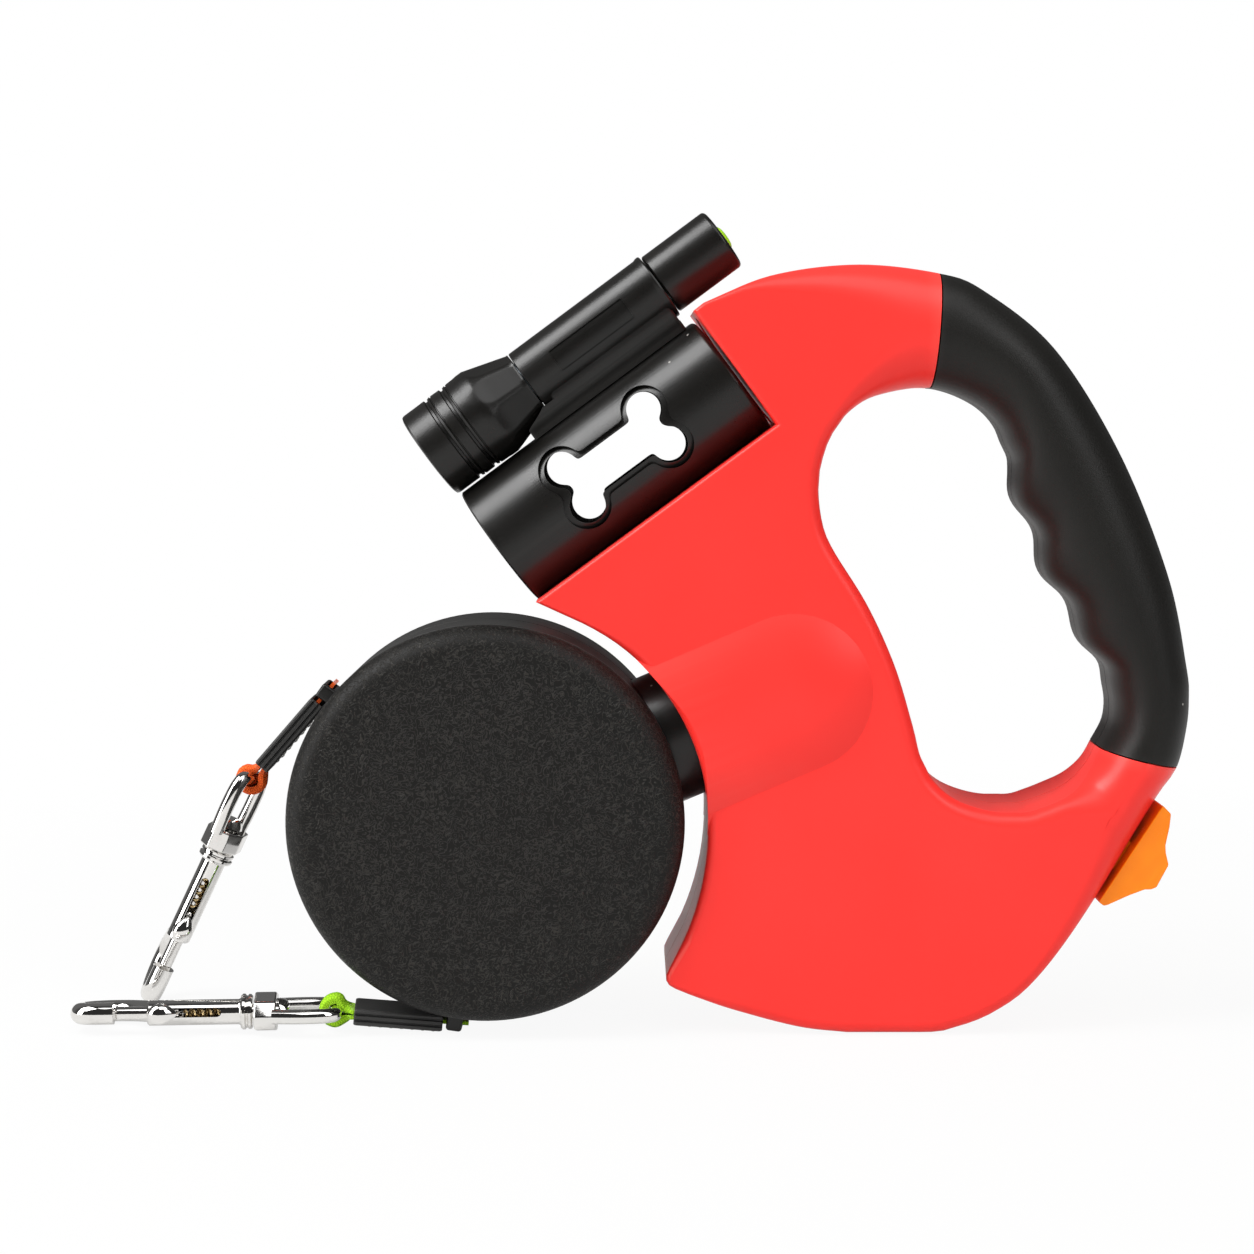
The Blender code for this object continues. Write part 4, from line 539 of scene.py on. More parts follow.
def webbing(name, look):  # along and across are millimetres on the tape, kept on its points
    finish, wire, shader = newFinish(name, {"Specular IOR Level": 0.25, "Sheen Weight": 0.35, "Sheen Roughness": 0.4})
    along = wire.node("ShaderNodeAttribute", {"attribute_name": "along"}, out=2)
    across = wire.node("ShaderNodeAttribute", {"attribute_name": "across"}, out=2)
    column = wire.maths("FLOOR", across / weave["column"])
    odd = wire.maths("MODULO", abs(column), 2.0)
    thread = wire.maths("SINE", along * (2 * math.pi / weave["row"]) + odd * math.pi) * 0.5 + 0.5
    edge = abs(wire.maths("SINE", across * (math.pi / weave["column"])))
    fuzz = noise(wire, surfacePlace(wire), 5200.0, 3.0)
    height = thread * edge
    shade = spread(wire, height + (fuzz - 0.5) * 0.5, 0.05, 0.7)
    blendColour(wire, shade, look["hollow"], look["colour"]).into(shader["Base Color"])
    (weave["rough"] + (fuzz - 0.5) * 0.2).into(shader["Roughness"])
    bump(wire, height + fuzz * 0.4, weave["depth"], 0.00018).into(shader["Normal"])
    return finish


orangeTapeFinish = webbing("orangeTapeFinish", orangeWeb)
limeTapeFinish = webbing("limeTapeFinish", limeWeb)

threadLook = dict(colour=(0.80, 0.79, 0.74), shade=(0.55, 0.54, 0.50))
threadFinish, threadWire, threadShader = newFinish("threadFinish", {"Roughness": 0.8})
threadTwist = noise(threadWire, surfacePlace(threadWire), 4200.0, 2.0, 1.0)
blendColour(threadWire, threadTwist, threadLook["shade"], threadLook["colour"]).into(threadShader["Base Color"])
bump(threadWire, threadTwist, 0.6, 0.0001).into(threadShader["Normal"])

lensLook = dict(colour=(0.96, 0.97, 0.98, 1.0), rough=0.03)
lensFinish, lensWire, lensShader = newFinish("lensFinish", {"Base Color": lensLook["colour"], "Transmission Weight": 1.0,
                                                            "IOR": 1.49})
lensHaze = noise(lensWire, surfacePlace(lensWire), 300.0, 3.0)
(lensLook["rough"] + spread(lensWire, lensHaze, 0.5, 0.8) * 0.05).into(lensShader["Roughness"])

cellLook = dict(wrap=(0.10, 0.12, 0.14), band=(0.45, 0.20, 0.06), bandAt=0.150)
cellFinish, cellWire, cellShader = newFinish("cellFinish", {"Metallic": 0.3})
cellParts = cellWire.node("ShaderNodeSeparateXYZ", None, {0: surfacePlace(cellWire)}, out=2)
cellBand = cellWire.maths("GREATER_THAN", cellParts, cellLook["bandAt"])
blendColour(cellWire, cellBand, cellLook["wrap"], cellLook["band"]).into(cellShader["Base Color"])
(0.3 + noise(cellWire, surfacePlace(cellWire), 900.0) * 0.15).into(cellShader["Roughness"])
lightLook = dict(dome=(0.92, 0.90, 0.80), phosphor=(0.95, 0.72, 0.12))
lightFinish, lightWire, lightShader = newFinish("lightFinish", {"Roughness": 0.2, "Coat Weight": 0.6})
lightBlotch = noise(lightWire, surfacePlace(lightWire), 700.0, 2.0)
blendColour(lightWire, spread(lightWire, lightBlotch, 0.3, 0.7), lightLook["dome"], lightLook["phosphor"]).into(lightShader["Base Color"])
print("finishes made")


def addOn(piece, host, finish):  # an extra that rides on the body of a node
    piece.data.materials.clear()
    piece.data.materials.append(finish)
    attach(piece, nodes[host]["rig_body"])
    return piece


# leads: tape from the mouth, through its sleeve and round the hook's eye
leads = dict(y=10.2, mouthR=44.9, mouthAngle=121.0, ways={"Near": 174.8, "Far": 229.0}, yaw={"Near": 4.0, "Far": 0.0},
             hookWays={"Near": 180.0, "Far": 244.6}, hookRoll={"Near": -10.0, "Far": 9.0}, eyeRoll={"Near": 0.0, "Far": -20.0},
             eyeBar=27.2)
tape = dict(half=3.6, thick=0.8, layer=0.6, loopR=2.25, gather=0.60, pleat=0.55, columns=14, tuck=4.0)
sleeve = dict(span=(3.7, 23.0), half=(5.6, 1.8), stitch=1.5, pitch=2.3, rows=(-4.3, 4.3), thread=0.24)


def leadAxes(angle, yaw, side):
    way = Vector((math.cos(math.radians(angle)), math.tan(math.radians(yaw)) * side, math.sin(math.radians(angle)))).normalized()
    up = way.cross(Vector((0, 1, 0))).normalized()
    return way, up.cross(way), up


def hookFrame(origin, angle, yaw, roll, side):
    way, across, up = leadAxes(angle, yaw, side)
    x = across * math.cos(math.radians(roll)) - up * math.sin(math.radians(roll))
    return frameAt(origin, x, way.cross(x), way)


def tapeLine():
    wrap = tape["loopR"] + tape["thick"] / 2
    start, end = sleeve["span"]
    points = [(-2.0, 0.0), (start + 1.0, 0.0), (start + 4.0, -tape["layer"]), (end + gap, -tape["layer"])]
    for i in range(9):
        turn = math.radians(-105 + 210 * i / 8)
        points.append((leads["eyeBar"] + wrap * math.cos(turn), wrap * math.sin(turn)))
    return points + [(end + gap, tape["layer"]), (end - tape["tuck"], tape["layer"])]


def smoothStep(t):
    t = min(1.0, max(0.0, t))
    return t * t * (3 - 2 * t)


def makeTape(name, place):
    line = smoothLine(tapeLine(), 110)
    rings, marks, along = [], [], 0.0
    for i, p in enumerate(line):
        way = (line[min(i + 1, len(line) - 1)] - line[max(i - 1, 0)]).normalized()
        out = Vector((-way.y, way.x))
        along += (p - line[max(i - 1, 0)]).length
        loose = smoothStep((p.x - sleeve["span"][1] - 0.2) / 1.8)
        wide = tape["half"] * (1 - (1 - tape["gather"]) * loose)
        row = []
        for face in (1, -1):
            for j in range(tape["columns"] + 1):
                v = face * (2 * j / tape["columns"] - 1)
                fold = tape["pleat"] * loose * math.cos(2.6 * math.pi * v + 0.5)
                q = p + out * (fold + face * tape["thick"] / 2)
                row.append((q.x, v * wide, q.y))
                marks.append((along, v * tape["half"]))
        rings.append(row)
    piece = skin(name, rings, place)
    for index, title in enumerate(("along", "across")):
        layer = piece.data.attributes.new(title, "FLOAT", "POINT")
        layer.data.foreach_set("value", [mark[index] for mark in marks])
    smoothed(piece, 50.0, weighted=False)
    return piece, [place @ Vector((p.x, 0, p.y)) for p in line], along


def makeSleeve(name, place):
    half, thick = sleeve["half"]
    edge = [(half - 0.4, -thick), (half, -thick + 0.4), (half, -0.95), (half - 0.4, -0.75), (half - 0.4, -0.55), (half, -0.35),
            (half, 0.35), (half - 0.4, 0.55), (half - 0.4, 0.75), (half, 0.95), (half, thick - 0.4), (half - 0.4, thick)]
    outline = edge + [(-y, -z) for y, z in edge]
    start, end = sleeve["span"]
    rings = []
    for x, share in ((start, 0.86), (start + 0.2, 0.95), (start + 0.6, 1.0), (end - 0.6, 1.0), (end - 0.2, 0.96), (end, 0.88)):
        rings.append([(x, y * (1 - (1 - share) * 0.35), z * share) for y, z in outline])
    piece = skin(name, rings, place)
    slot = tape["layer"] + tape["thick"] / 2 + gap
    carve(piece, box("slot", (0.0, -tape["half"] - 0.4, -slot), (40.0, tape["half"] + 0.4, slot), place))
    return smoothed(piece, 28.0)


def makeStitches(name, place, face):
    start, end = sleeve["span"]
    points, faces = [], []
    for row in sleeve["rows"]:
        x = start + 1.2
        while x + sleeve["stitch"] < end - 0.8:
            base = len(points)
            for k in range(7):  # each stitch is a short hump of thread
                t = k / 6
                lift = sleeve["half"][1] - 0.12 + 0.3 * math.sin(math.pi * t)
                for j in range(6):
                    turn = 2 * math.pi * j / 6
                    points.append((x + sleeve["stitch"] * t, row + sleeve["thread"] * math.cos(turn),
                                   face * (lift + sleeve["thread"] * 0.6 * math.sin(turn))))
            for k in range(6):
                for j in range(6):
                    n = (j + 1) % 6
                    faces.append((base + k * 6 + j, base + k * 6 + n, base + k * 6 + 6 + n, base + k * 6 + 6 + j))
            faces += [tuple(range(base, base + 6)), tuple(range(base + 36, base + 42))]
            x += sleeve["pitch"]
    return smoothed(newPiece(name, points, faces, place), 60.0, weighted=False)


leadFrames, hookFrames, eyeFrames, mouths, tapes, sleeves = {}, {}, {}, {}, {}, {}
for sideName, side in sides.items():
    low = sideName.lower()
    mouth = headPoint(leads["mouthR"], math.degrees(head["tilt"]) + side * leads["mouthAngle"])
    mouths[sideName] = Vector((mouth.x, side * leads["y"], mouth.y))
    axes = leadAxes(leads["ways"][sideName], leads["yaw"][sideName], side)
    leadFrames[sideName] = frameAt(mouths[sideName], *axes)
    bar = mouths[sideName] + axes[0] * leads["eyeBar"]
    hookFrames[sideName] = hookFrame(bar, leads["hookWays"][sideName], leads["yaw"][sideName], leads["hookRoll"][sideName], side)
    eyeFrames[sideName] = hookFrame(bar, leads["hookWays"][sideName], leads["yaw"][sideName], leads["eyeRoll"][sideName], side)
    finish = limeTapeFinish if side < 0 else orangeTapeFinish
    tapes[sideName] = makeTape("tape" + sideName, leadFrames[sideName])
    dress(tapes[sideName][0], finish, "lime_tape" if side < 0 else "orange_tape", "tape_loop_" + low)
    sleeves[sideName] = dress(makeSleeve("sleeve" + sideName, leadFrames[sideName]), sleeveFinish, "sleeve_rubber", "sleeve_" + low)
    addOn(makeStitches("stitches" + sideName, leadFrames[sideName], 1), "sleeve_" + low, threadFinish)
print("tapes and sleeves laid")

# hooks
hook = dict(barrelR=2.75, ringR=3.9, armR=2.35, boltR=1.5, knob=(1.7, 2.3), eyeWire=1.6, eyeHalf=5.9, eyeBase=(12.6, 17.4),
            eyeBaseR=(6.6, 4.3), coils=6, coilR=1.05, coilWire=0.3, coilSpan=(22.6, 33.0))
armPoints = ((1.4, 34.0), (2.8, 38.0), (7.0, 41.2), (10.4, 45.1), (11.2, 49.5), (9.0, 53.3), (5.0, 55.3), (1.6, 54.9),
             (0.2, 52.6), (0.0, 47.9))


def makeEye(name, place):
    bow = ((0.915, hook["eyeBase"][0] + 0.8), (1.0, 7.5), (0.965, 3.0), (0.83, 0.9), (0.61, 0.0))
    wire = [(-hook["eyeHalf"] * x, 0, z) for x, z in bow] + [(hook["eyeHalf"] * x, 0, z) for x, z in reversed(bow)]
    piece = sweep(name, smoothLine(wire, 60), hook["eyeWire"], place, 24)
    octagon = [(hook["eyeBaseR"][0] * math.cos(math.pi * (i + 0.0) / 4), hook["eyeBaseR"][1] * math.sin(math.pi * i / 4)) for i in range(8)]
    base = bevelled(prism("base", octagon, *hook["eyeBase"], place), 0.45, 3, 20.0)
    weld(piece, base)
    carve(piece, lathe("bore", ((1.9, 5.0), (1.9, 25.0)), place, 32))
    return smoothed(piece, 38.0)


def makeHookBody(name, place):
    r, ring = hook["barrelR"], hook["ringR"]
    profile = [(0, 40.6), (r - 0.35, 40.6), (r, 40.2), (r, 20.9), (r + 0.25, 20.5), (ring - 0.35, 20.4), (ring, 20.0), (ring, 19.5),
               (ring - 0.4, 19.15), (ring - 0.4, 19.0), (ring - 0.1, 18.7), (ring - 0.1, 18.2), (ring - 0.5, 17.85), (1.5, 17.8),
               (1.5, 12.2), (2.75, 12.2), (2.9, 12.0), (2.7, 11.1), (2.2, 10.3), (1.2, 9.9), (0, 9.8)]
    piece = lathe(name, profile, place, 48)
    arm = [(x, 0, z) for x, z in smoothLine(armPoints, 64)]
    radii = [hook["armR"] * min(1.0, 0.5 + 2.0 * i / 64) for i in range(65)]
    weld(piece, sweep("arm", arm, radii, place, 28))
    carve(piece, lathe("bore", ((hook["boltR"] + gap, 22.0), (hook["boltR"] + gap, 44.0)), place, 32))
    slot = [(0.95 * math.cos(math.pi * (1 + i / 8)), 25.5 + 0.95 * math.sin(math.pi * (1 + i / 8))) for i in range(9)]
    slot += [(0.95, 39.9), (-0.95, 39.9)]
    rings = [[(x, y, z) for y, z in slot] for x in (-6.0, -0.4)]
    carve(piece, skin("slot", rings, place))
    return smoothed(piece, 36.0)


def makeBolt(name, place):
    r = hook["boltR"]
    piece = lathe(name, [(0, 47.5), (r - 0.35, 47.5), (r, 47.1), (r, 33.9), (r - 0.3, 33.6), (0, 33.6)], place, 32)
    deep, tall = hook["knob"]
    rings = []
    for i in range(21):  # a drop that is fuller towards the tip
        t = i / 20
        swell = math.sin(math.pi * t ** 1.25) ** 0.62
        z = 33.7 + 6.7 * t
        rings.append([(-4.55 + deep * swell * math.cos(2 * math.pi * j / 28), tall * swell * math.sin(2 * math.pi * j / 28), z)
                      for j in range(28)])
    weld(piece, bevelled(box("neck", (-3.6, -0.65, 34.4), (-0.5, 0.65, 39.6), place), 0.2, 2), skin("knob", rings, place))
    return smoothed(piece, 38.0)


def makeCoil(name, place):
    start, end = hook["coilSpan"]
    count = hook["coils"] * 20
    path = [(hook["coilR"] * math.cos(2 * math.pi * i / 20), hook["coilR"] * math.sin(2 * math.pi * i / 20),
             start + (end - start) * i / count) for i in range(count + 1)]
    return smoothed(sweep(name, path, hook["coilWire"], place, 10), 60.0, weighted=False)


for sideName, side in sides.items():
    low, place = sideName.lower(), hookFrames[sideName]
    eyePiece = dress(makeEye("eye" + sideName, eyeFrames[sideName]), chromeFinish, "chrome", "hook_eye_" + low)
    bodyPiece = dress(makeHookBody("hookBody" + sideName, place), chromeFinish, "chrome", "hook_body_" + low)
    boltPiece = dress(makeBolt("bolt" + sideName, place), chromeFinish, "chrome", "hook_bolt_" + low)
    coilPiece = dress(makeCoil("coil" + sideName, place), brassFinish, "brass_spring", "hook_spring_" + low)
    span = hook["coilSpan"]
    place.to_3x3() @ Vector((0, 0, 1000.0))
    place @ Vector((0, 0, span[0]))
    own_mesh(coilPiece)
    tapePiece, route, length = tapes[sideName]
    length * mm
print("hooks made")

# handle: paired rails round the outside and round the hand's opening
handle = dict(halfDepth=16.5, wall=2.3, edge=3.0, notchEdge=0.9, recessEdge=2.0, tipEdge=1.2, tip=3.5, gripInset=12.5, gripRound=11.5,
              insetMost=0.485, skin=2.0, pitch=17.2, phase=43.2, wave=1.1, recessR=48.0, flare=3.6, recess=(76.0, -43.0), arcs=9, gripCount=84)
rails = dict(
    topOuter=((43.5, 164.8), (26.0, 166.5), (7.3, 164.0), (-7.6, 158.0)),
    bottomOuter=((-8.6, 8.0), (0.4, 4.7), (13.7, 1.2), (24.0, 0.0)),
    rightOuter=((40.0, 0.0), (48.0, 1.2), (56.3, 4.6), (64.9, 11.4), (77.3, 27.9), (92.2, 51.0), (96.6, 57.4)),
    gripOuter=((96.6, 57.4), (98.6, 66.3), (99.0, 72.9), (98.4, 79.5), (94.1, 99.3), (83.4, 125.5), (68.9, 148.3), (53.3, 161.0),
               (43.5, 164.8)),
    topInner=((41.8, 140.1), (30.2, 138.5), (24.0, 135.2), (20.2, 130.4)),
    cornerInner=((20.2, 130.4), (18.2, 125.4), (17.2, 119.6)),
    leftInner=((17.2, 119.6), (17.9, 112.0), (20.2, 105.8), (27.9, 93.4), (33.9, 80.3), (37.9, 67.3), (39.8, 60.2)),
    bottomInner=((39.8, 60.2), (43.2, 54.6), (48.7, 50.6), (57.3, 48.4)),
    rightInner=((60.5, 48.4), (66.5, 49.6), (73.5, 52.9), (77.6, 57.2), (79.8, 61.4)),
    gripInner=((79.8, 61.4), (82.6, 67.4), (82.0, 75.0), (77.2, 85.0), (69.7, 97.5), (64.2, 110.4), (60.0, 122.0), (57.7, 130.9),
               (51.7, 136.8), (41.8, 140.1)))


def rail(name, shares, before=None, after=None):  # one rail, led in and out by its neighbours
    first, last = rails[before][-2] if before else None, rails[after][1] if after else None
    return smoothLine(rails[name], shares, first, last)


def recessRail(shares):
    places = []
    for share in shares:
        angle = handle["recess"][0] + (handle["recess"][1] - handle["recess"][0]) * share
        opened = max(0.0, (6.0 - angle) / (6.0 - handle["recess"][1]))
        places.append(headPoint(handle["recessR"] + handle["flare"] * opened ** 2, angle))
    return places


def between(one, two, share):
    return one + (two - one) * smoothStep(share)


def bodyRails():  # a place outside, one at the hand's opening, how round the section is, and its outer edge
    made = []
    edge, notchEdge, recessEdge, tipEdge = (handle[name] for name in ("edge", "notchEdge", "recessEdge", "tipEdge"))
    shares = [i / 24 for i in range(21)] + [1.0]
    for share, a, b in zip(shares, rail("topOuter", shares, "gripOuter"), rail("topInner", shares, "gripInner", "cornerInner")):
        made.append((a, b, smoothStep(1.0 - 1.15 * share), between(edge, notchEdge, (share - 0.6) / 0.35)))
    corner = rail("cornerInner", 4, "topInner", "leftInner")
    for i, where in enumerate((notchPoint(0, notch["height"]), notchPoint(0, 0), notchPoint(-notch["length"], 0))):
        made.append((where, corner[i + 1], 0.0, notchEdge))
    shares = [0.1 + 0.8 * i / 28 for i in range(29)]
    left = rail("leftInner", [0.02 + 0.9 * i / 28 for i in range(29)], "cornerInner", "bottomInner")
    for share, a, b in zip(shares, recessRail(shares), left):
        made.append((a, b, 0.0, between(notchEdge, recessEdge, (share - 0.1) / 0.15)))
    before, tip = recessRail((0.965, 1.0))
    after = tip + (Vector(rails["bottomOuter"][0]) - tip).normalized() * handle["tip"]
    shares = (0.0, 0.25, 0.5, 0.75, 1.0)
    for t, b in zip(shares, rail("leftInner", [0.95 + 0.05 * t for t in shares], "cornerInner", "bottomInner")):
        made.append((before * (1 - t) ** 2 + tip * 2 * t * (1 - t) + after * t * t, b, 0.0, tipEdge))
    shares = [1 / 6 + 5 / 6 * i / 16 for i in range(17)]
    outer = smoothLine((tip, *rails["bottomOuter"]), shares)
    for share, a, b in zip(shares, outer, rail("bottomInner", shares, "leftInner", "rightInner")):
        made.append((a, b, 0.0, between(tipEdge, edge, (share - 0.1) / 0.4)))
    shares = [i / 32 for i in range(33)]
    for share, a, b in zip(shares, rail("rightOuter", shares, "bottomOuter", "gripOuter"),
                           rail("rightInner", shares, "bottomInner", "gripInner")):
        made.append((a, b, smoothStep(1.6 * share - 0.6), edge))
    return made


def gripRails(count):
    outer, inner = rail("gripOuter", count, "rightOuter", "topOuter"), rail("gripInner", count, "rightInner", "topInner")
    made, along = [], 0.0
    for i in range(count + 1):
        along += (inner[i] - inner[max(0, i - 1)]).length
        inside = smoothStep((along - 12.0) / 8.0) * smoothStep((76.0 - along) / 8.0)
        made.append(handle["wave"] * inside * math.cos(2 * math.pi * (along - handle["phase"]) / handle["pitch"]))
    return [(a, b, 1.0, handle["edge"]) for a, b in zip(outer, inner)], made


def insetWays(points, side):  # into the material at each point of a closed rail, mitred at corners
    ways = []
    for i, p in enumerate(points):
        pair = []
        for a, b in ((points[i - 1], p), (p, points[(i + 1) % len(points)])):
            if (b - a).length > 1e-6:
                step = (b - a).normalized()
                pair.append(Vector((-step.y, step.x)) * side)
        ways.append((pair[0] + pair[-1]) / (1 + pair[0].dot(pair[-1])))
    return ways


def halfSection(outer, outerIn, inner, innerIn, roundness, outerEdge, less, wave=0.0):
    depth, arcs, points = handle["halfDepth"] - less, handle["arcs"], []
    line = (inner - outer).normalized()
    for rail, into, swell, edge in ((outer, outerIn, 0.0, outerEdge), (inner, innerIn, wave, handle["edge"])):
        inset = min(edge + (handle["gripInset"] - edge) * roundness, handle["insetMost"] * (outer - inner).length) - less
        deep = edge + (handle["gripRound"] - edge) * roundness - less
        start = rail + into * less
        level = into * (1 - roundness) + (line if rail is outer else -line) * roundness
        side = [(start - into * swell, gap / 2), (start - into * swell, depth - deep)]
        for k in range(1, arcs + 1):
            turn = math.pi / 2 * k / arcs
            fade = swell * math.cos(turn) ** 2
            side.append((start + level * inset * (1 - math.cos(turn)) - into * fade, depth - deep + deep * math.sin(turn)))
        points.append(side)
    return [(p.x, y, p.y) for p, y in points[0] + points[1][::-1]]


body = bodyRails()
grip, waves = gripRails(handle["gripCount"])
loop = body + grip[1:-1]
outerIn = insetWays([s[0] for s in loop], 1)
innerIn = insetWays([s[1] for s in loop], -1)


def shellRings(side):
    last, cover, rings = len(body) - 1, handle["skin"] + gap, []
    order = [(i, 0.0) for i in range(last + 1)] + [(last, cover)]
    order += [(i, cover) for i in range(last + 1, len(loop))] + [(0, cover)]
    for i, less in order:
        outer, inner, roundness, edge = loop[i]
        outside = halfSection(outer, outerIn[i], inner, innerIn[i], roundness, edge, less)
        wall = handle["wall"] + (cover * roundness if roundness > 0.0 else less)
        top = handle["halfDepth"] - wall
        into = (inner - outer).normalized() * 1.9 if edge == handle["tipEdge"] else outerIn[i]  # so that the cavity keeps clear of the tip
        a, b = outer + into * (wall + 2.2 * roundness), inner + innerIn[i] * (wall + 2.2 * roundness)
        rim = min(cover, wall)
        rimA, rimB = outer + into * rim, inner + innerIn[i] * rim
        inside = [(rimB.x, gap / 2, rimB.y), (b.x, gap / 2, b.y), (b.x, top, b.y), (a.x, top, a.y), (a.x, gap / 2, a.y),
                  (rimA.x, gap / 2, rimA.y)]
        rings.append([(x, side * y, z) for x, y, z in outside + inside])
    return rings


boss = dict(round=31.0, half=19.8, span=(43.0, 72.0), turns=40, root=3.6, toe=0.9, lip=2.6)


def makeBoss(side):  # the swelling over the neck, sliced off inside the shell's wall and cut at the recess
    start, end = boss["span"]
    profile = [(0.0, start), (boss["round"], start), (boss["round"], end)]
    for i in range(1, 25):
        turn = math.pi / 2 * i / 24
        profile.append((boss["round"] * math.cos(turn) if i < 24 else 0.0, end + boss["round"] * math.sin(turn)))
    low = handle["halfDepth"] - boss["root"]
    reach = math.acos((low - 0.2) / boss["half"])
    rings = []
    for r, z in profile:
        ring = []
        for j in range(boss["turns"] + 1):
            turn = reach * (2 * j / boss["turns"] - 1)
            ring.append((r * math.sin(turn), side * r * math.cos(turn) * boss["half"] / boss["round"], z))
        rings.append(ring + [(ring[-1][0], side * 2.0, z), (ring[0][0], side * 2.0, z)] if r > 0 else
                     ring + [(0.0, 0.0, z)] * 2)
    piece = skin("boss", rings, headFrame)
    shape = bmesh.new()
    shape.from_mesh(piece.data)
    near, far = headFrame @ Vector((0, side * low, start)), headFrame @ Vector((0, side * (handle["halfDepth"] - boss["toe"]), end + 20.0))
    across = headFrame.to_3x3() @ Vector((side, 0, 0))
    bmesh.ops.bisect_plane(shape, geom=shape.verts[:] + shape.edges[:] + shape.faces[:],
                           plane_co=near, plane_no=(far - near).cross(across).normalized(), clear_inner=True)
    bmesh.ops.contextual_create(shape, geom=[e for e in shape.edges if e.is_boundary])
    bmesh.ops.recalc_face_normals(shape, faces=shape.faces)
    shape.to_mesh(piece.data)
    shape.free()
    foot, rise = handle["halfDepth"] + 0.1, boss["half"] + 0.2 - handle["halfDepth"]
    turns = [math.pi / 2 * i / 10 for i in range(11)]
    bulge = [(handle["recessR"] + 0.03 + boss["lip"] * (1 - math.cos(t)), foot + rise * math.sin(t)) for t in turns]
    spool = [(bulge[-1][0], 25.0)] + bulge[::-1]
    carve(piece, lathe("spool", [(r, -y) for r, y in spool] + spool[::-1], upright(headFrame), 192))
    return piece


collar = dict(radius=14.6, end=51.9, bushEnd=59.0)
button = dict(start=(77.3, 27.9), way=(0.542, 0.840), y=(1.0, 13.0), stem=(9.0, 16.0), travel=4.0, stemY=(4.6, 7.6), pin=(11.0, -8.0),
              cap=((1.4, 0.9), (1.3, 2.3), (1.95, 2.95), (6.1, 5.6), (9.1, 7.8), (9.9, 9.0), (10.9, 9.7), (16.4, 9.2), (18.3, 7.2),
                   (19.65, 6.2), (23.5, 4.7), (26.0, 3.4), (26.6, 0.9)))
tube = dict(radius=14.65, wall=1.8, axis=13.75, slit=0.7)
screwPlaces = ((13.0, 150.0), (5.0, 112.0), (3.0, 24.0), (60.0, 19.0))


def buttonPlace(along, away):
    dx, dz = button["way"]
    return Vector((button["start"][0] + along * dx + away * dz, button["start"][1] + along * dz - away * dx))


def crossRod(name, where, radius, low, high, steps=40):
    return lathe(name, ((radius, -high), (radius, -low)), upright(moved(plainFrame, (where[0], 0, where[1]))), steps)


tubeFrame = moved(notchFrame, (0, 0, tube["axis"]), math.pi / 2)
for sideName, side in sides.items():
    shell = skin("shell" + sideName, shellRings(side), along=True)
    weld(shell, makeBoss(side))
    cutters = [lathe("collarHole", ((collar["radius"] + 0.6, 30.0), (collar["radius"] + 0.6, collar["bushEnd"])), headFrame, 96),
               lathe("trough", ((tube["radius"] + gap, -notch["length"] - 8.0), (tube["radius"] + gap, 0.4)), tubeFrame, 96)]
    slot = [buttonPlace(a, n) for a, n in ((button["stem"][0] - 0.4, 3.0), (button["stem"][0] - 0.4, -6.0),
                                           (button["stem"][1] + button["travel"] + 0.4, -6.0),
                                           (button["stem"][1] + button["travel"] + 0.4, 3.0))]
    low, high = sorted((-side * (button["stemY"][0] - gap), -side * (button["stemY"][1] + gap)))
    cutters.append(prism("slot", slot, low, high, upright(plainFrame)))
    if side > 0:
        cutters += [crossRod("counterbore", where, 3.1, 10.0, 24.0) for where in screwPlaces]
    carve(shell, *cutters)
    smoothed(shell, 19.0)
    dress(shell, redFinish, "red_shell", "handle_shell_" + sideName.lower())

    order = [*range(len(body) - 1, len(loop)), 0]
    rings = []
    for k, (i, wave) in enumerate(zip(order, waves)):
        outer, inner, roundness, edge = loop[i]
        shift = Vector((0, 0))
        if k in (0, len(order) - 1):
            inward = loop[order[4 if k == 0 else -5]]
            shift = (inward[0] + inward[1] - outer - inner).normalized() * gap
        outside = halfSection(outer + shift, outerIn[i], inner + shift, innerIn[i], roundness, edge, 0.0, wave)
        inside = halfSection(outer + shift, outerIn[i], inner + shift, innerIn[i], roundness, edge, handle["skin"])
        rings.append([(x, side * y, z) for x, y, z in outside + inside[::-1]])
    gripPiece = skin("grip" + sideName, rings, caps=False)
    count = len(rings[0])
    shape = bmesh.new()
    shape.from_mesh(gripPiece.data)
    shape.verts.ensure_lookup_table()
    for base in (0, (len(rings) - 1) * count):
        end = shape.verts[base:base + count]
        for i in range(count // 2 - 1):
            shape.faces.new((end[i], end[i + 1], end[-2 - i], end[-1 - i]))
    bmesh.ops.recalc_face_normals(shape, faces=shape.faces)
    shape.to_mesh(gripPiece.data)
    shape.free()
    smoothed(gripPiece, 40.0)
    dress(gripPiece, gripFinish, "grip_rubber", "grip_" + sideName.lower())
print("handle made")

# reel head: covers, cups, mouths and the wound tape
drum = dict(edge=5.0, coverWall=2.2, web=(1.3, 2.9), axle=4.0, reelTop=15.2, steps=144)
guide = dict(along=(-0.9, 2.6), deep=(-1.7, 4.6), side=1.6, radius=44.9)
wound = dict(inner=19.8, outer=36.6, low=5.7, high=13.5, pitch=0.8, steps=44)


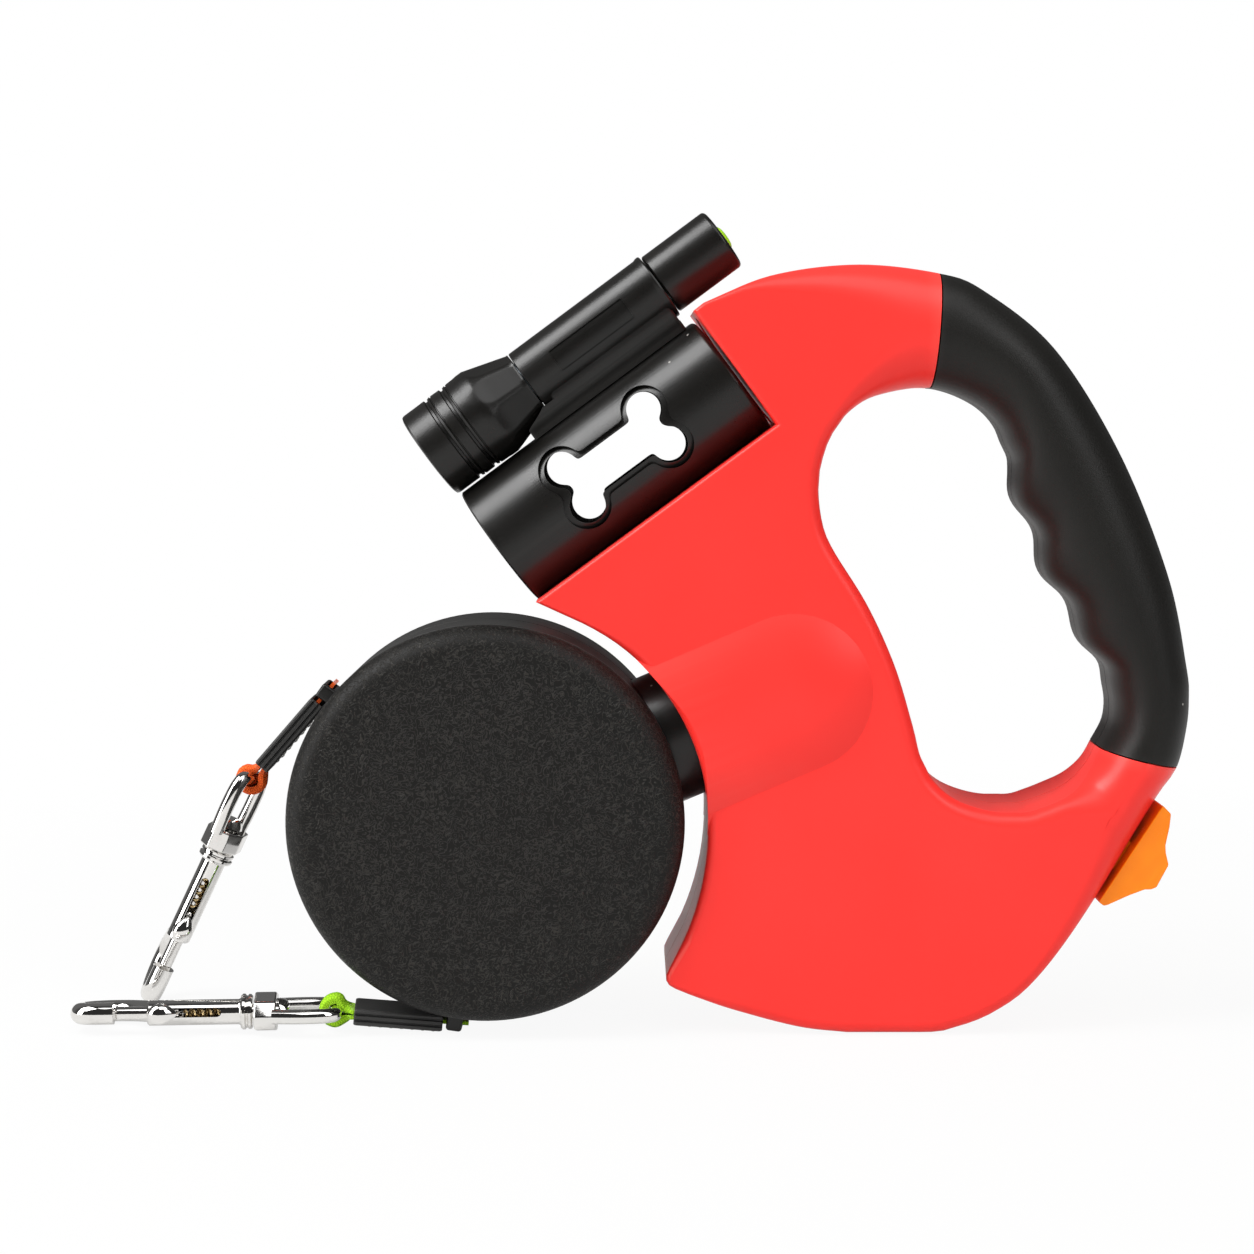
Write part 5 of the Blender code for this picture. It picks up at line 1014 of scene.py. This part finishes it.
def makeCover(name, place):
    r, half, edge = head["drumR"], head["drumHalf"], drum["edge"]
    profile = [(0.0, half), (r - edge - 6.0, half), (r - edge, half)]
    for i in range(1, 13):
        turn = math.pi / 2 * i / 12
        profile.append((r - edge * (1 - math.sin(turn)), half - edge * (1 - math.cos(turn))))
    lip, deep, bore = r - head["caseWall"] - gap, half - drum["coverWall"], drum["axle"] + gap
    profile += [(r, head["caseRim"] + gap + 0.3), (r - 0.3, head["caseRim"] + gap), (lip, head["caseRim"] + gap), (lip, head["caseRim"] - 0.6),
                (lip - 1.6, head["caseRim"] - 0.6), (lip - 3.8, deep), (drum["axle"] + 2.4, deep), (drum["axle"] + 2.4, drum["reelTop"] + 1.6),
                (bore, drum["reelTop"] + 1.6), (bore, deep), (0.0, deep)]
    return smoothed(lathe(name, profile, place, drum["steps"]), 35.0)


def makeCase(name, place, mouth):
    r, low, high = head["drumR"], *drum["web"]
    inner, bore = r - head["caseWall"], drum["axle"] + gap
    profile = [(r - 0.3, head["caseRim"]), (r, head["caseRim"] - 0.3), (r, gap / 2 + 0.25), (r - 0.25, gap / 2), (inner, gap / 2), (inner, low),
               (bore, low), (bore, high), (inner, high), (inner, head["caseRim"])]
    piece = lathe(name, profile, place, drum["steps"], hollow=True)
    half = tape["half"] + guide["side"] + gap
    window = box("window", (guide["along"][0] - gap, -half, guide["deep"][0] - 2.3), (guide["along"][1] + gap, half, guide["deep"][1] + 2.9), mouth)
    carve(piece, lathe("neckHole", ((collar["radius"] + gap, 36.0), (collar["radius"] + gap, 60.0)), moved(place, (0, 0, 0), math.pi / 2), 96),
          window)
    return smoothed(piece, 30.0)


def makeGuide(name, mouth):
    half = tape["half"] + guide["side"]
    piece = bevelled(box(name, (guide["along"][0], -half, guide["deep"][0]), (guide["along"][1], half, guide["deep"][1]), mouth), 0.7, 4)
    slot = filleted([(-tape["half"] - 0.7, -1.0), (tape["half"] + 0.7, -1.0), (tape["half"] + 0.7, 1.0), (-tape["half"] - 0.7, 1.0)], 0.45, 4, True)
    rings = [[(x, y, z) for y, z in slot] for x in (-9.0, 9.0)]
    carve(piece, skin("slot", rings, mouth))
    return smoothed(piece, 35.0)


def makeWinding(name, place):  # a flat spiral of tape, one layer on another
    turns = int((wound["outer"] - wound["inner"]) / wound["pitch"])
    rings, marks, along = [], [], 0.0
    for i in range(turns * wound["steps"] + 1):
        turn = 2 * math.pi * i / wound["steps"]
        r = wound["inner"] + wound["pitch"] * i / wound["steps"]
        along += 2 * math.pi * r / wound["steps"]
        ring = []
        for radius, zs in ((r + wound["pitch"] * 0.92, (0.0, 0.25, 0.5, 0.75, 1.0)), (r, (1.0, 0.5, 0.0))):
            for share in zs:
                z = wound["low"] + (wound["high"] - wound["low"]) * share
                ring.append((radius * math.cos(turn), radius * math.sin(turn), z))
                marks.append((along, (share - 0.5) * 2 * tape["half"]))
        rings.append(ring)
    piece = skin(name, rings, place)
    for index, title in enumerate(("along", "across")):
        layer = piece.data.attributes.new(title, "FLOAT", "POINT")
        layer.data.foreach_set("value", [mark[index] for mark in marks])
    return smoothed(piece, 40.0, weighted=False)


neck = dict(bore=4.0, stem=9.0, stemEnd=66.5, start=34.0, slot=(2.3, 6.2, 50.4), prong=(5.6, 12.4), prongSpan=(24.0, 45.5),
            prongHalf=1.0, screw=(28.5, 9.0, 2.0))


def makeNeck(name):  # collar and stem, with a slot for the brake fingers and two prongs into the cups
    r, end, stem, stemEnd = collar["radius"], collar["end"], neck["stem"], neck["stemEnd"]
    profile = [(neck["bore"], stemEnd), (stem - 0.4, stemEnd), (stem, stemEnd - 0.4), (stem, end), (r - 0.5, end), (r, end - 0.5),
               (r, neck["start"]), (neck["bore"], neck["start"])]
    piece = lathe(name, profile, headFrame, 112, hollow=True)
    inner, (wide, tall, deep) = head["drumR"] - head["caseWall"], neck["slot"]
    carve(piece, lathe("drumSpace", ((inner, -30.0), (inner, 30.0)), upright(headFrame), 112),
          box("slot", (-wide, -tall, 20.0), (wide, tall, deep), headFrame))
    along, across, hole = neck["screw"]
    for way in (-1, 1):
        near, far = sorted((way * neck["prong"][0], way * neck["prong"][1]))
        prong = box("prong", (near, -neck["prongHalf"], neck["prongSpan"][0]), (far, neck["prongHalf"], neck["prongSpan"][1]), headFrame)
        weld(piece, bevelled(prong, 0.25, 2))
        carve(piece, lathe("hole", ((hole, -5.0), (hole, 5.0)), moved(reelFrames["Near"], (along, way * across, 0)), 32))
    return smoothed(piece, 30.0)


dress(makeNeck("neckPiece"), blackFinish, "black_plastic", "neck")
mouthTurn = math.radians(-leads["mouthAngle"])
mouthOut = Vector((math.cos(mouthTurn), math.sin(mouthTurn), 0))
for sideName, side in sides.items():
    low, place = sideName.lower(), reelFrames[sideName]
    turn = Matrix(((mouthOut.y, 0, -mouthOut.x), (-mouthOut.x, 0, -mouthOut.y), (0, 1, 0))).to_4x4()
    mouth = place @ Matrix.Translation(mouthOut * guide["radius"] + Vector((0, 0, leads["y"]))) @ turn
    dress(makeCover("cover" + sideName, place), grainFinish, "grained_plastic", "reel_cover_" + low)
    dress(makeCase("case" + sideName, place, mouth), caseFinish, "black_plastic", "reel_case_" + low)
    dress(makeGuide("guide" + sideName, mouth), blackFinish, "black_plastic", "tape_guide_" + low)
    dress(makeWinding("winding" + sideName, place), limeTapeFinish if side < 0 else orangeTapeFinish,
          "lime_tape" if side < 0 else "orange_tape", "tape_winding_" + low)
print("reel head made")

# bag tube with its bone-shaped windows
bone = dict(place=(-31.8, 1.0), lobe=3.95, along=11.0, across=4.7, shaft=4.35, rim=1.25, rimDeep=0.85)
keel = dict(span=(-50.0, -14.0), half=1.6, foot=4.6)
rail = dict(span=(-36.0, -3.0), half=(1.8, 3.2), head=1.0, drop=1.0)
torch = dict(front=-64.75, seat=10.7, headR=10.6, frontR=10.35, mouthR=8.6, barrelR=7.55, tailR=7.2, bore=5.6, grooves=(6.2, 10.3), ring=(14.0, 16.5),
             headEnd=26.8, tailStart=62.6, end=79.8, cap=(2.9, 4.4), panel=(34.6, 54.0, 2.6), saddle=(-35.6, -3.2))
torch["axis"] = tube["axis"] + tube["radius"] + torch["seat"]
railTop = torch["axis"] - torch["barrelR"] - rail["drop"]


def evened(outline, step, passes):  # even spacing round a closed outline, then its corners eased
    points = [Vector(p) for p in outline] + [Vector(outline[0])]
    lengths = [0.0]
    for a, b in zip(points, points[1:]):
        lengths.append(lengths[-1] + (b - a).length)
    count, k, made = int(lengths[-1] / step), 1, []
    for i in range(count):
        want = lengths[-1] * i / count
        while lengths[k] < want:
            k += 1
        made.append(points[k - 1].lerp(points[k], (want - lengths[k - 1]) / max(1e-9, lengths[k] - lengths[k - 1])))
    for _ in range(passes):
        made = [(made[i - 1] + p * 2 + made[(i + 1) % count]) / 4 for i, p in enumerate(made)]
    return [tuple(p) for p in made]


def boneOutline(wider):
    lobe, shaft = bone["lobe"] + wider, bone["shaft"] + wider
    start = math.pi + math.asin((bone["across"] - shaft) / lobe)
    end = -math.asin(min(0.94, (bone["across"] - 0.9) / lobe))
    outline = []
    for sx, sy in ((1, 1), (-1, 1), (-1, -1), (1, -1)):
        arc = []
        for i in range(25):
            turn = start + (end - start) * i / 24
            arc.append((bone["place"][0] + sx * (bone["along"] + lobe * math.cos(turn)),
                        bone["place"][1] + sy * (bone["across"] + lobe * math.sin(turn))))
        outline += arc if sx * sy < 0 else arc[::-1]
    return evened(outline, 0.4, 6)


def makeTube(name):
    r, bore = tube["radius"], tube["radius"] - tube["wall"]
    end, start = -tube["slit"], -notch["length"]
    profile = [(0, end), (r - 1.2, end)] + [(r - 1.2 + 1.2 * math.sin(math.pi / 2 * i / 5), end - 1.2 + 1.2 * math.cos(math.pi / 2 * i / 5))
                                            for i in range(1, 6)]
    profile += [(r, start + 0.35), (r - 0.35, start), (bore + 0.3, start), (bore, start + 0.3), (bore, end - tube["wall"]), (0, end - tube["wall"])]
    piece = lathe(name, profile, tubeFrame, 128)
    across = upright(moved(notchFrame, (0, 0, tube["axis"])))
    ledge = prism("ledge", boneOutline(bone["rim"]), -30.0, 30.0, across)
    carve(ledge, lathe("core", ((r - bone["rimDeep"], start - 5.0), (r - bone["rimDeep"], 5.0)), tubeFrame, 128))
    carve(piece, ledge, prism("window", boneOutline(0.0), -30.0, 30.0, across))
    low, top = tube["axis"] - r, tube["axis"] + r
    half, foot = keel["half"], keel["foot"]
    weld(piece, box("keelWeb", (keel["span"][0], -half, -6.0), (keel["span"][1], half, low + 0.9), notchFrame),
         box("keelFoot", (keel["span"][0] + 0.5, -foot, -7.2), (keel["span"][1] - 0.5, foot, -5.0), notchFrame),
         box("railWeb", (rail["span"][0], -rail["half"][0], top - 1.0), (rail["span"][1], rail["half"][0], railTop - 0.2), notchFrame),
         box("railHead", (rail["span"][0] + 0.2, -rail["half"][1], railTop - rail["head"]), (rail["span"][1] - 0.2, rail["half"][1], railTop),
             notchFrame))
    return smoothed(piece, 24.0)


dress(makeTube("bagTube"), blackFinish, "black_plastic", "bag_tube")
print("bag tube made")

# torch
torchFrame = moved(notchFrame, (torch["front"], 0, torch["axis"]), math.pi / 2)
saddle = dict(reach=4.4, toe=8.2, toeTop=6.2, flank=((7.3, -1.9), (6.6, -3.7), (5.6, -5.1), (4.8, -6.6), (4.4, -8.2), (4.4, -9.8), (4.4, -11.0)))


def makeTorchHead(name):
    r, front, back, flats = torch["headR"], torch["frontR"], torch["barrelR"], 8
    start, end = torch["ring"][1], torch["headEnd"]
    outside = [(front - 0.7, 0.0), (front - 0.2, 0.2), (front, 0.7)]
    for place in torch["grooves"]:  # a deep line and a fine one beside it
        outside += [(front, place - 0.1), (front - 0.55, place + 0.1), (front - 0.55, place + 0.6), (front - 0.1, place + 0.8),
                    (front + 0.05, place + 1.3), (front - 0.25, place + 1.45), (front - 0.25, place + 1.6), (front + 0.05, place + 1.75)]
    outside += [(front + 0.1, 12.4), (r - 0.1, torch["ring"][0]), (r, torch["ring"][0] + 1.0), (r, start)]
    outside += [(r - (r - back) * i / 12, start + (end - 0.4 - start) * i / 12) for i in range(1, 13)] + [(back, end)]
    inside = [(torch["bore"] + 0.2, end), (torch["bore"] + 0.2, 15.0), (torch["mouthR"], 10.5), (torch["mouthR"], 0.0)]
    steps, rings = 128, []
    for radius, z in outside:
        ring = []
        flat = radius * (1 - 0.055 * smoothStep((z - start + 1.0) / 4.0) * smoothStep((end + 0.6 - z) / 1.2))
        for j in range(steps):
            turn = 2 * math.pi * j / steps
            off = turn % (2 * math.pi / flats) - math.pi / flats
            reach = min(radius, flat / math.cos(off))
            ring.append((reach * math.cos(turn), reach * math.sin(turn), z))
        rings.append(ring)
    rings += [[(radius * math.cos(2 * math.pi * j / steps), radius * math.sin(2 * math.pi * j / steps), z) for j in range(steps)]
              for radius, z in inside]
    return smoothed(skin(name, rings, torchFrame, along=True), 30.0)


def makeBarrel(name):
    r, low, high = torch["barrelR"], torch["headEnd"] + gap, torch["tailStart"]
    piece = lathe(name, ((r - 0.2, low), (r, low + 0.2), (r, high - 1.6), (r + 0.22, high - 0.9), (r + 0.25, high - 0.35), (r + 0.1, high - 0.08),
                         (r - 0.2, high), (torch["bore"], high), (torch["bore"], low)), torchFrame, 112, hollow=True)
    foot, reach = tube["radius"] + gap, saddle["reach"]
    flank = [(y, torch["axis"] + n) for y, n in saddle["flank"]] + [(reach, tube["axis"] + math.sqrt(foot ** 2 - reach ** 2))]
    flank = [tuple(p) for p in smoothLine(flank, 20)]
    under = [(reach * (1 - i / 12), tube["axis"] + math.sqrt(foot ** 2 - (reach * (1 - i / 12)) ** 2)) for i in range(1, 13)]
    half = flank + under
    outline = half + [(-y, n) for y, n in reversed(half[:-1])]
    start, end = torch["saddle"]
    rings = []
    for s, share in ((start, 0.93), (start + 0.35, 0.985), (start + 1.0, 1.0), (end - 1.0, 1.0), (end - 0.35, 0.985), (end, 0.93)):
        rings.append([(s, y * share, n) for y, n in outline])
    weld(piece, skin("saddle", rings, notchFrame))
    half = [(y, n) for y, n in half if n < torch["axis"] - saddle["toeTop"]]
    outline, toe = half + [(-y, n) for y, n in reversed(half[:-1])], start - saddle["toe"]
    rings = [[(s, y * share, n) for y, n in outline] for s, share in ((toe, 0.93), (toe + 0.35, 0.985), (toe + 1.0, 1.0), (start + 2.0, 1.0))]
    toePiece, easy = skin("toe", rings, notchFrame), 0.25
    cone = ((torch["headR"] + easy, 4.0), (torch["headR"] + easy, torch["ring"][1]), (r + easy, torch["headEnd"] + easy), (r + easy, 36.0))
    carve(toePiece, lathe("cone", cone, torchFrame, 112))
    weld(piece, toePiece)
    web, wide = rail["half"]
    carve(piece, lathe("bore", ((torch["bore"], low - 2.0), (torch["bore"], high + 2.0)), torchFrame, 112),
          box("slot", (rail["span"][0] - 9.0, -web - gap, tube["axis"] + tube["radius"] - 3.0), (rail["span"][1] + 9.0, web + gap, railTop - rail["head"] / 2), notchFrame),
          box("groove", (rail["span"][0] - 9.5, -wide - gap, railTop - rail["head"] - gap), (rail["span"][1] + 9.5, wide + gap, railTop + gap), notchFrame))
    a, b, tall = torch["panel"]
    panel = filleted([(a, -tall), (b, -tall), (b, tall), (a, tall)], 0.5, 4, True)
    cutter = skin("panel", [[(n, y, z) for z, n in panel] for y in (-12.0, -2.0)], torchFrame)
    carve(cutter, lathe("core", ((r - 0.28, a - 3.0), (r - 0.28, b + 3.0)), torchFrame, 112))
    carve(piece, cutter)
    return smoothed(piece, 22.0)


def makeTail(name):
    r, start, end, hole = torch["tailR"], torch["tailStart"] + gap, torch["end"], torch["cap"][0] + 0.4
    profile = [(r - 0.3, start), (r, start + 0.3), (r, end - 0.9)]
    profile += [(r - 0.9 * (1 - math.cos(math.pi / 2 * i / 6)), end - 0.9 + 0.9 * math.sin(math.pi / 2 * i / 6)) for i in range(1, 7)]
    profile += [(hole + 0.3, end), (hole, end - 0.3), (hole, end - 2.0), (torch["bore"], end - 2.0), (torch["bore"], start)]
    return smoothed(lathe(name, profile, torchFrame, 112, hollow=True), 30.0)


def makeSwitch(name):
    r, flange, end = *torch["cap"], torch["end"]
    profile = [(0, end + 0.95), (1.2, end + 0.92), (2.0, end + 0.8), (r - 0.25, end + 0.5), (r, end + 0.15), (r, end - 2.6),
               (flange, end - 2.6), (flange, end - 4.4), (0, end - 4.4)]
    return smoothed(lathe(name, profile, torchFrame, 64), 35.0)


def makeLens(name):
    r = torch["mouthR"] - gap
    profile = [(0, 0.9), (3.5, 0.93), (6.5, 1.0), (r - 0.2, 1.1), (r, 1.25), (r, 2.2), (r - 0.1, 2.3), (0, 2.3)]
    return smoothed(lathe(name, profile, torchFrame, 96), 30.0)


def makeReflector(name):
    r = torch["mouthR"] - 0.4
    profile = [(r, 2.6), (r, 9.6), (5.0, 13.4), (2.2, 14.0), (1.6, 14.0), (1.6, 12.4)]
    profile += [(1.6 + (r - 2.2) * (i / 16) ** 0.62, 12.4 - 9.8 * i / 16) for i in range(1, 17)]
    return smoothed(lathe(name, profile, torchFrame, 96, hollow=True), 35.0)


def makeLight(name):  # the small domed lamp in the middle of the reflector
    profile = [(0, 10.4), (0.6, 10.5), (1.05, 10.9), (1.2, 11.5), (1.2, 12.9), (1.45, 12.9), (1.45, 13.9), (0, 13.9)]
    return smoothed(lathe(name, profile, torchFrame, 40), 35.0)


def makeCell(name):
    profile = [(0, 61.0), (1.7, 61.0), (1.9, 60.8), (1.9, 60.2), (5.0, 60.2), (5.25, 59.9), (5.25, 16.8), (5.0, 16.5), (0, 16.5)]
    return smoothed(lathe(name, profile, torchFrame, 64), 35.0)


dress(makeTorchHead("torchHead"), blackFinish, "black_plastic", "torch_head")
dress(makeBarrel("torchBarrel"), blackFinish, "black_plastic", "torch_barrel")
dress(makeTail("torchTail"), blackFinish, "black_plastic", "torch_tail")
dress(makeSwitch("torchSwitch"), limeFinish, "lime_plastic", "torch_button")
dress(makeLens("torchLens"), lensFinish, "lens", "torch_lens")
dress(makeReflector("torchReflector"), mirrorFinish, "mirror", "torch_reflector")
dress(makeCell("torchCell"), cellFinish, "cell", "torch_cell")
addOn(makeLight("torchLight"), "torch_reflector", lightFinish)
print("torch made")


# brake buttons
def makeButton(name, side):
    outline = [tuple(buttonPlace(*p)) for p in filleted(button["cap"], [0.3, 0.5, 0.8, 4.0, 1.5, 1.2, 0.9, 0.9, 2.2, 2.2, 3.0, 0.8, 0.3], 5, True)]
    low, high = sorted((-side * button["y"][0], -side * button["y"][1]))
    piece = bevelled(prism(name, outline, low, high, upright(plainFrame)), 0.55, 4, 50.0)
    low, high = sorted((-side * button["stemY"][0], -side * button["stemY"][1]))
    foot = [tuple(buttonPlace(a, n)) for a, n in ((button["stem"][0], 1.8), (button["stem"][0], -6.0), (button["pin"][0] - 3, -11.0),
                                                  (button["pin"][0] + 3, -11.0), (button["stem"][1], -6.0), (button["stem"][1], 1.8))]
    weld(piece, prism("foot", foot, low, high, upright(plainFrame)),
         crossRod("pin", buttonPlace(*button["pin"]), 1.3, *sorted((side * 6.6, side * 11.4)), 24))
    return smoothed(piece, 34.0)


dress(makeButton("buttonNear", -1), orangeFinish, "orange_plastic", "brake_button_near")
dress(makeButton("buttonFar", 1), limeFinish, "lime_plastic", "brake_button_far")
print("buttons made")

# the handle's screws, heads on the far side
screw = dict(seat=10.3, head=2.3, headR=2.7, shank=1.4, tip=-9.0, cross=(0.35, 1.6, 1.1))
for number, where in enumerate(screwPlaces, 1):
    top, r = screw["seat"] + screw["head"], screw["headR"]
    profile = [(0, top), (1.2, top - 0.05), (2.0, top - 0.25), (2.5, top - 0.65), (r, top - 1.1), (r, screw["seat"]), (screw["shank"], screw["seat"]),
               (screw["shank"], screw["tip"]), (0, screw["tip"])]
    place = moved(plainFrame, (where[0], 0, where[1])) @ Matrix.Rotation(-math.pi / 2, 4, "X")
    piece = lathe("shellScrew" + str(number), profile, place, 40)
    thin, wide, deep = screw["cross"]
    turned = moved(place, (0, 0, 0), 0.4 + number * 0.7, "Z")
    carve(piece, box("cross", (-thin, -wide, top - deep), (thin, wide, top + 1.0), turned),
          box("cross", (-wide, -thin, top - deep), (wide, thin, top + 1.0), turned))
    dress(smoothed(piece, 30.0), steelFinish, "steel", "shell_screw_" + str(number))
print("screws made")

# the solids whose shape is right keep it, and get their finish
plainNodes = dict(steel=("crank_pin", "brake_link_near", "brake_link_far", "brake_plunger_outer", "brake_plunger_inner", "neck_nut", "neck_washer",
                         "case_screw_1", "case_screw_2", "case_screw_3", "case_screw_4", "reel_axle", "power_spring_near", "power_spring_far"),
                  acetal=("swivel_bush", "reel_near", "reel_far"), black=("brake_crank_near", "brake_crank_far"))
for kind, finish in (("steel", steelFinish), ("acetal", acetalFinish), ("black", blackFinish)):
    for name in plainNodes[kind]:
        thing = nodes[name]
        for place in thing.material_slots:
            place.material = finish
        thing.data.polygons.foreach_set("use_smooth", [True] * len(thing.data.polygons))
        thing.data.set_sharp_from_angle(angle=math.radians(32.0))
print("solids finished")
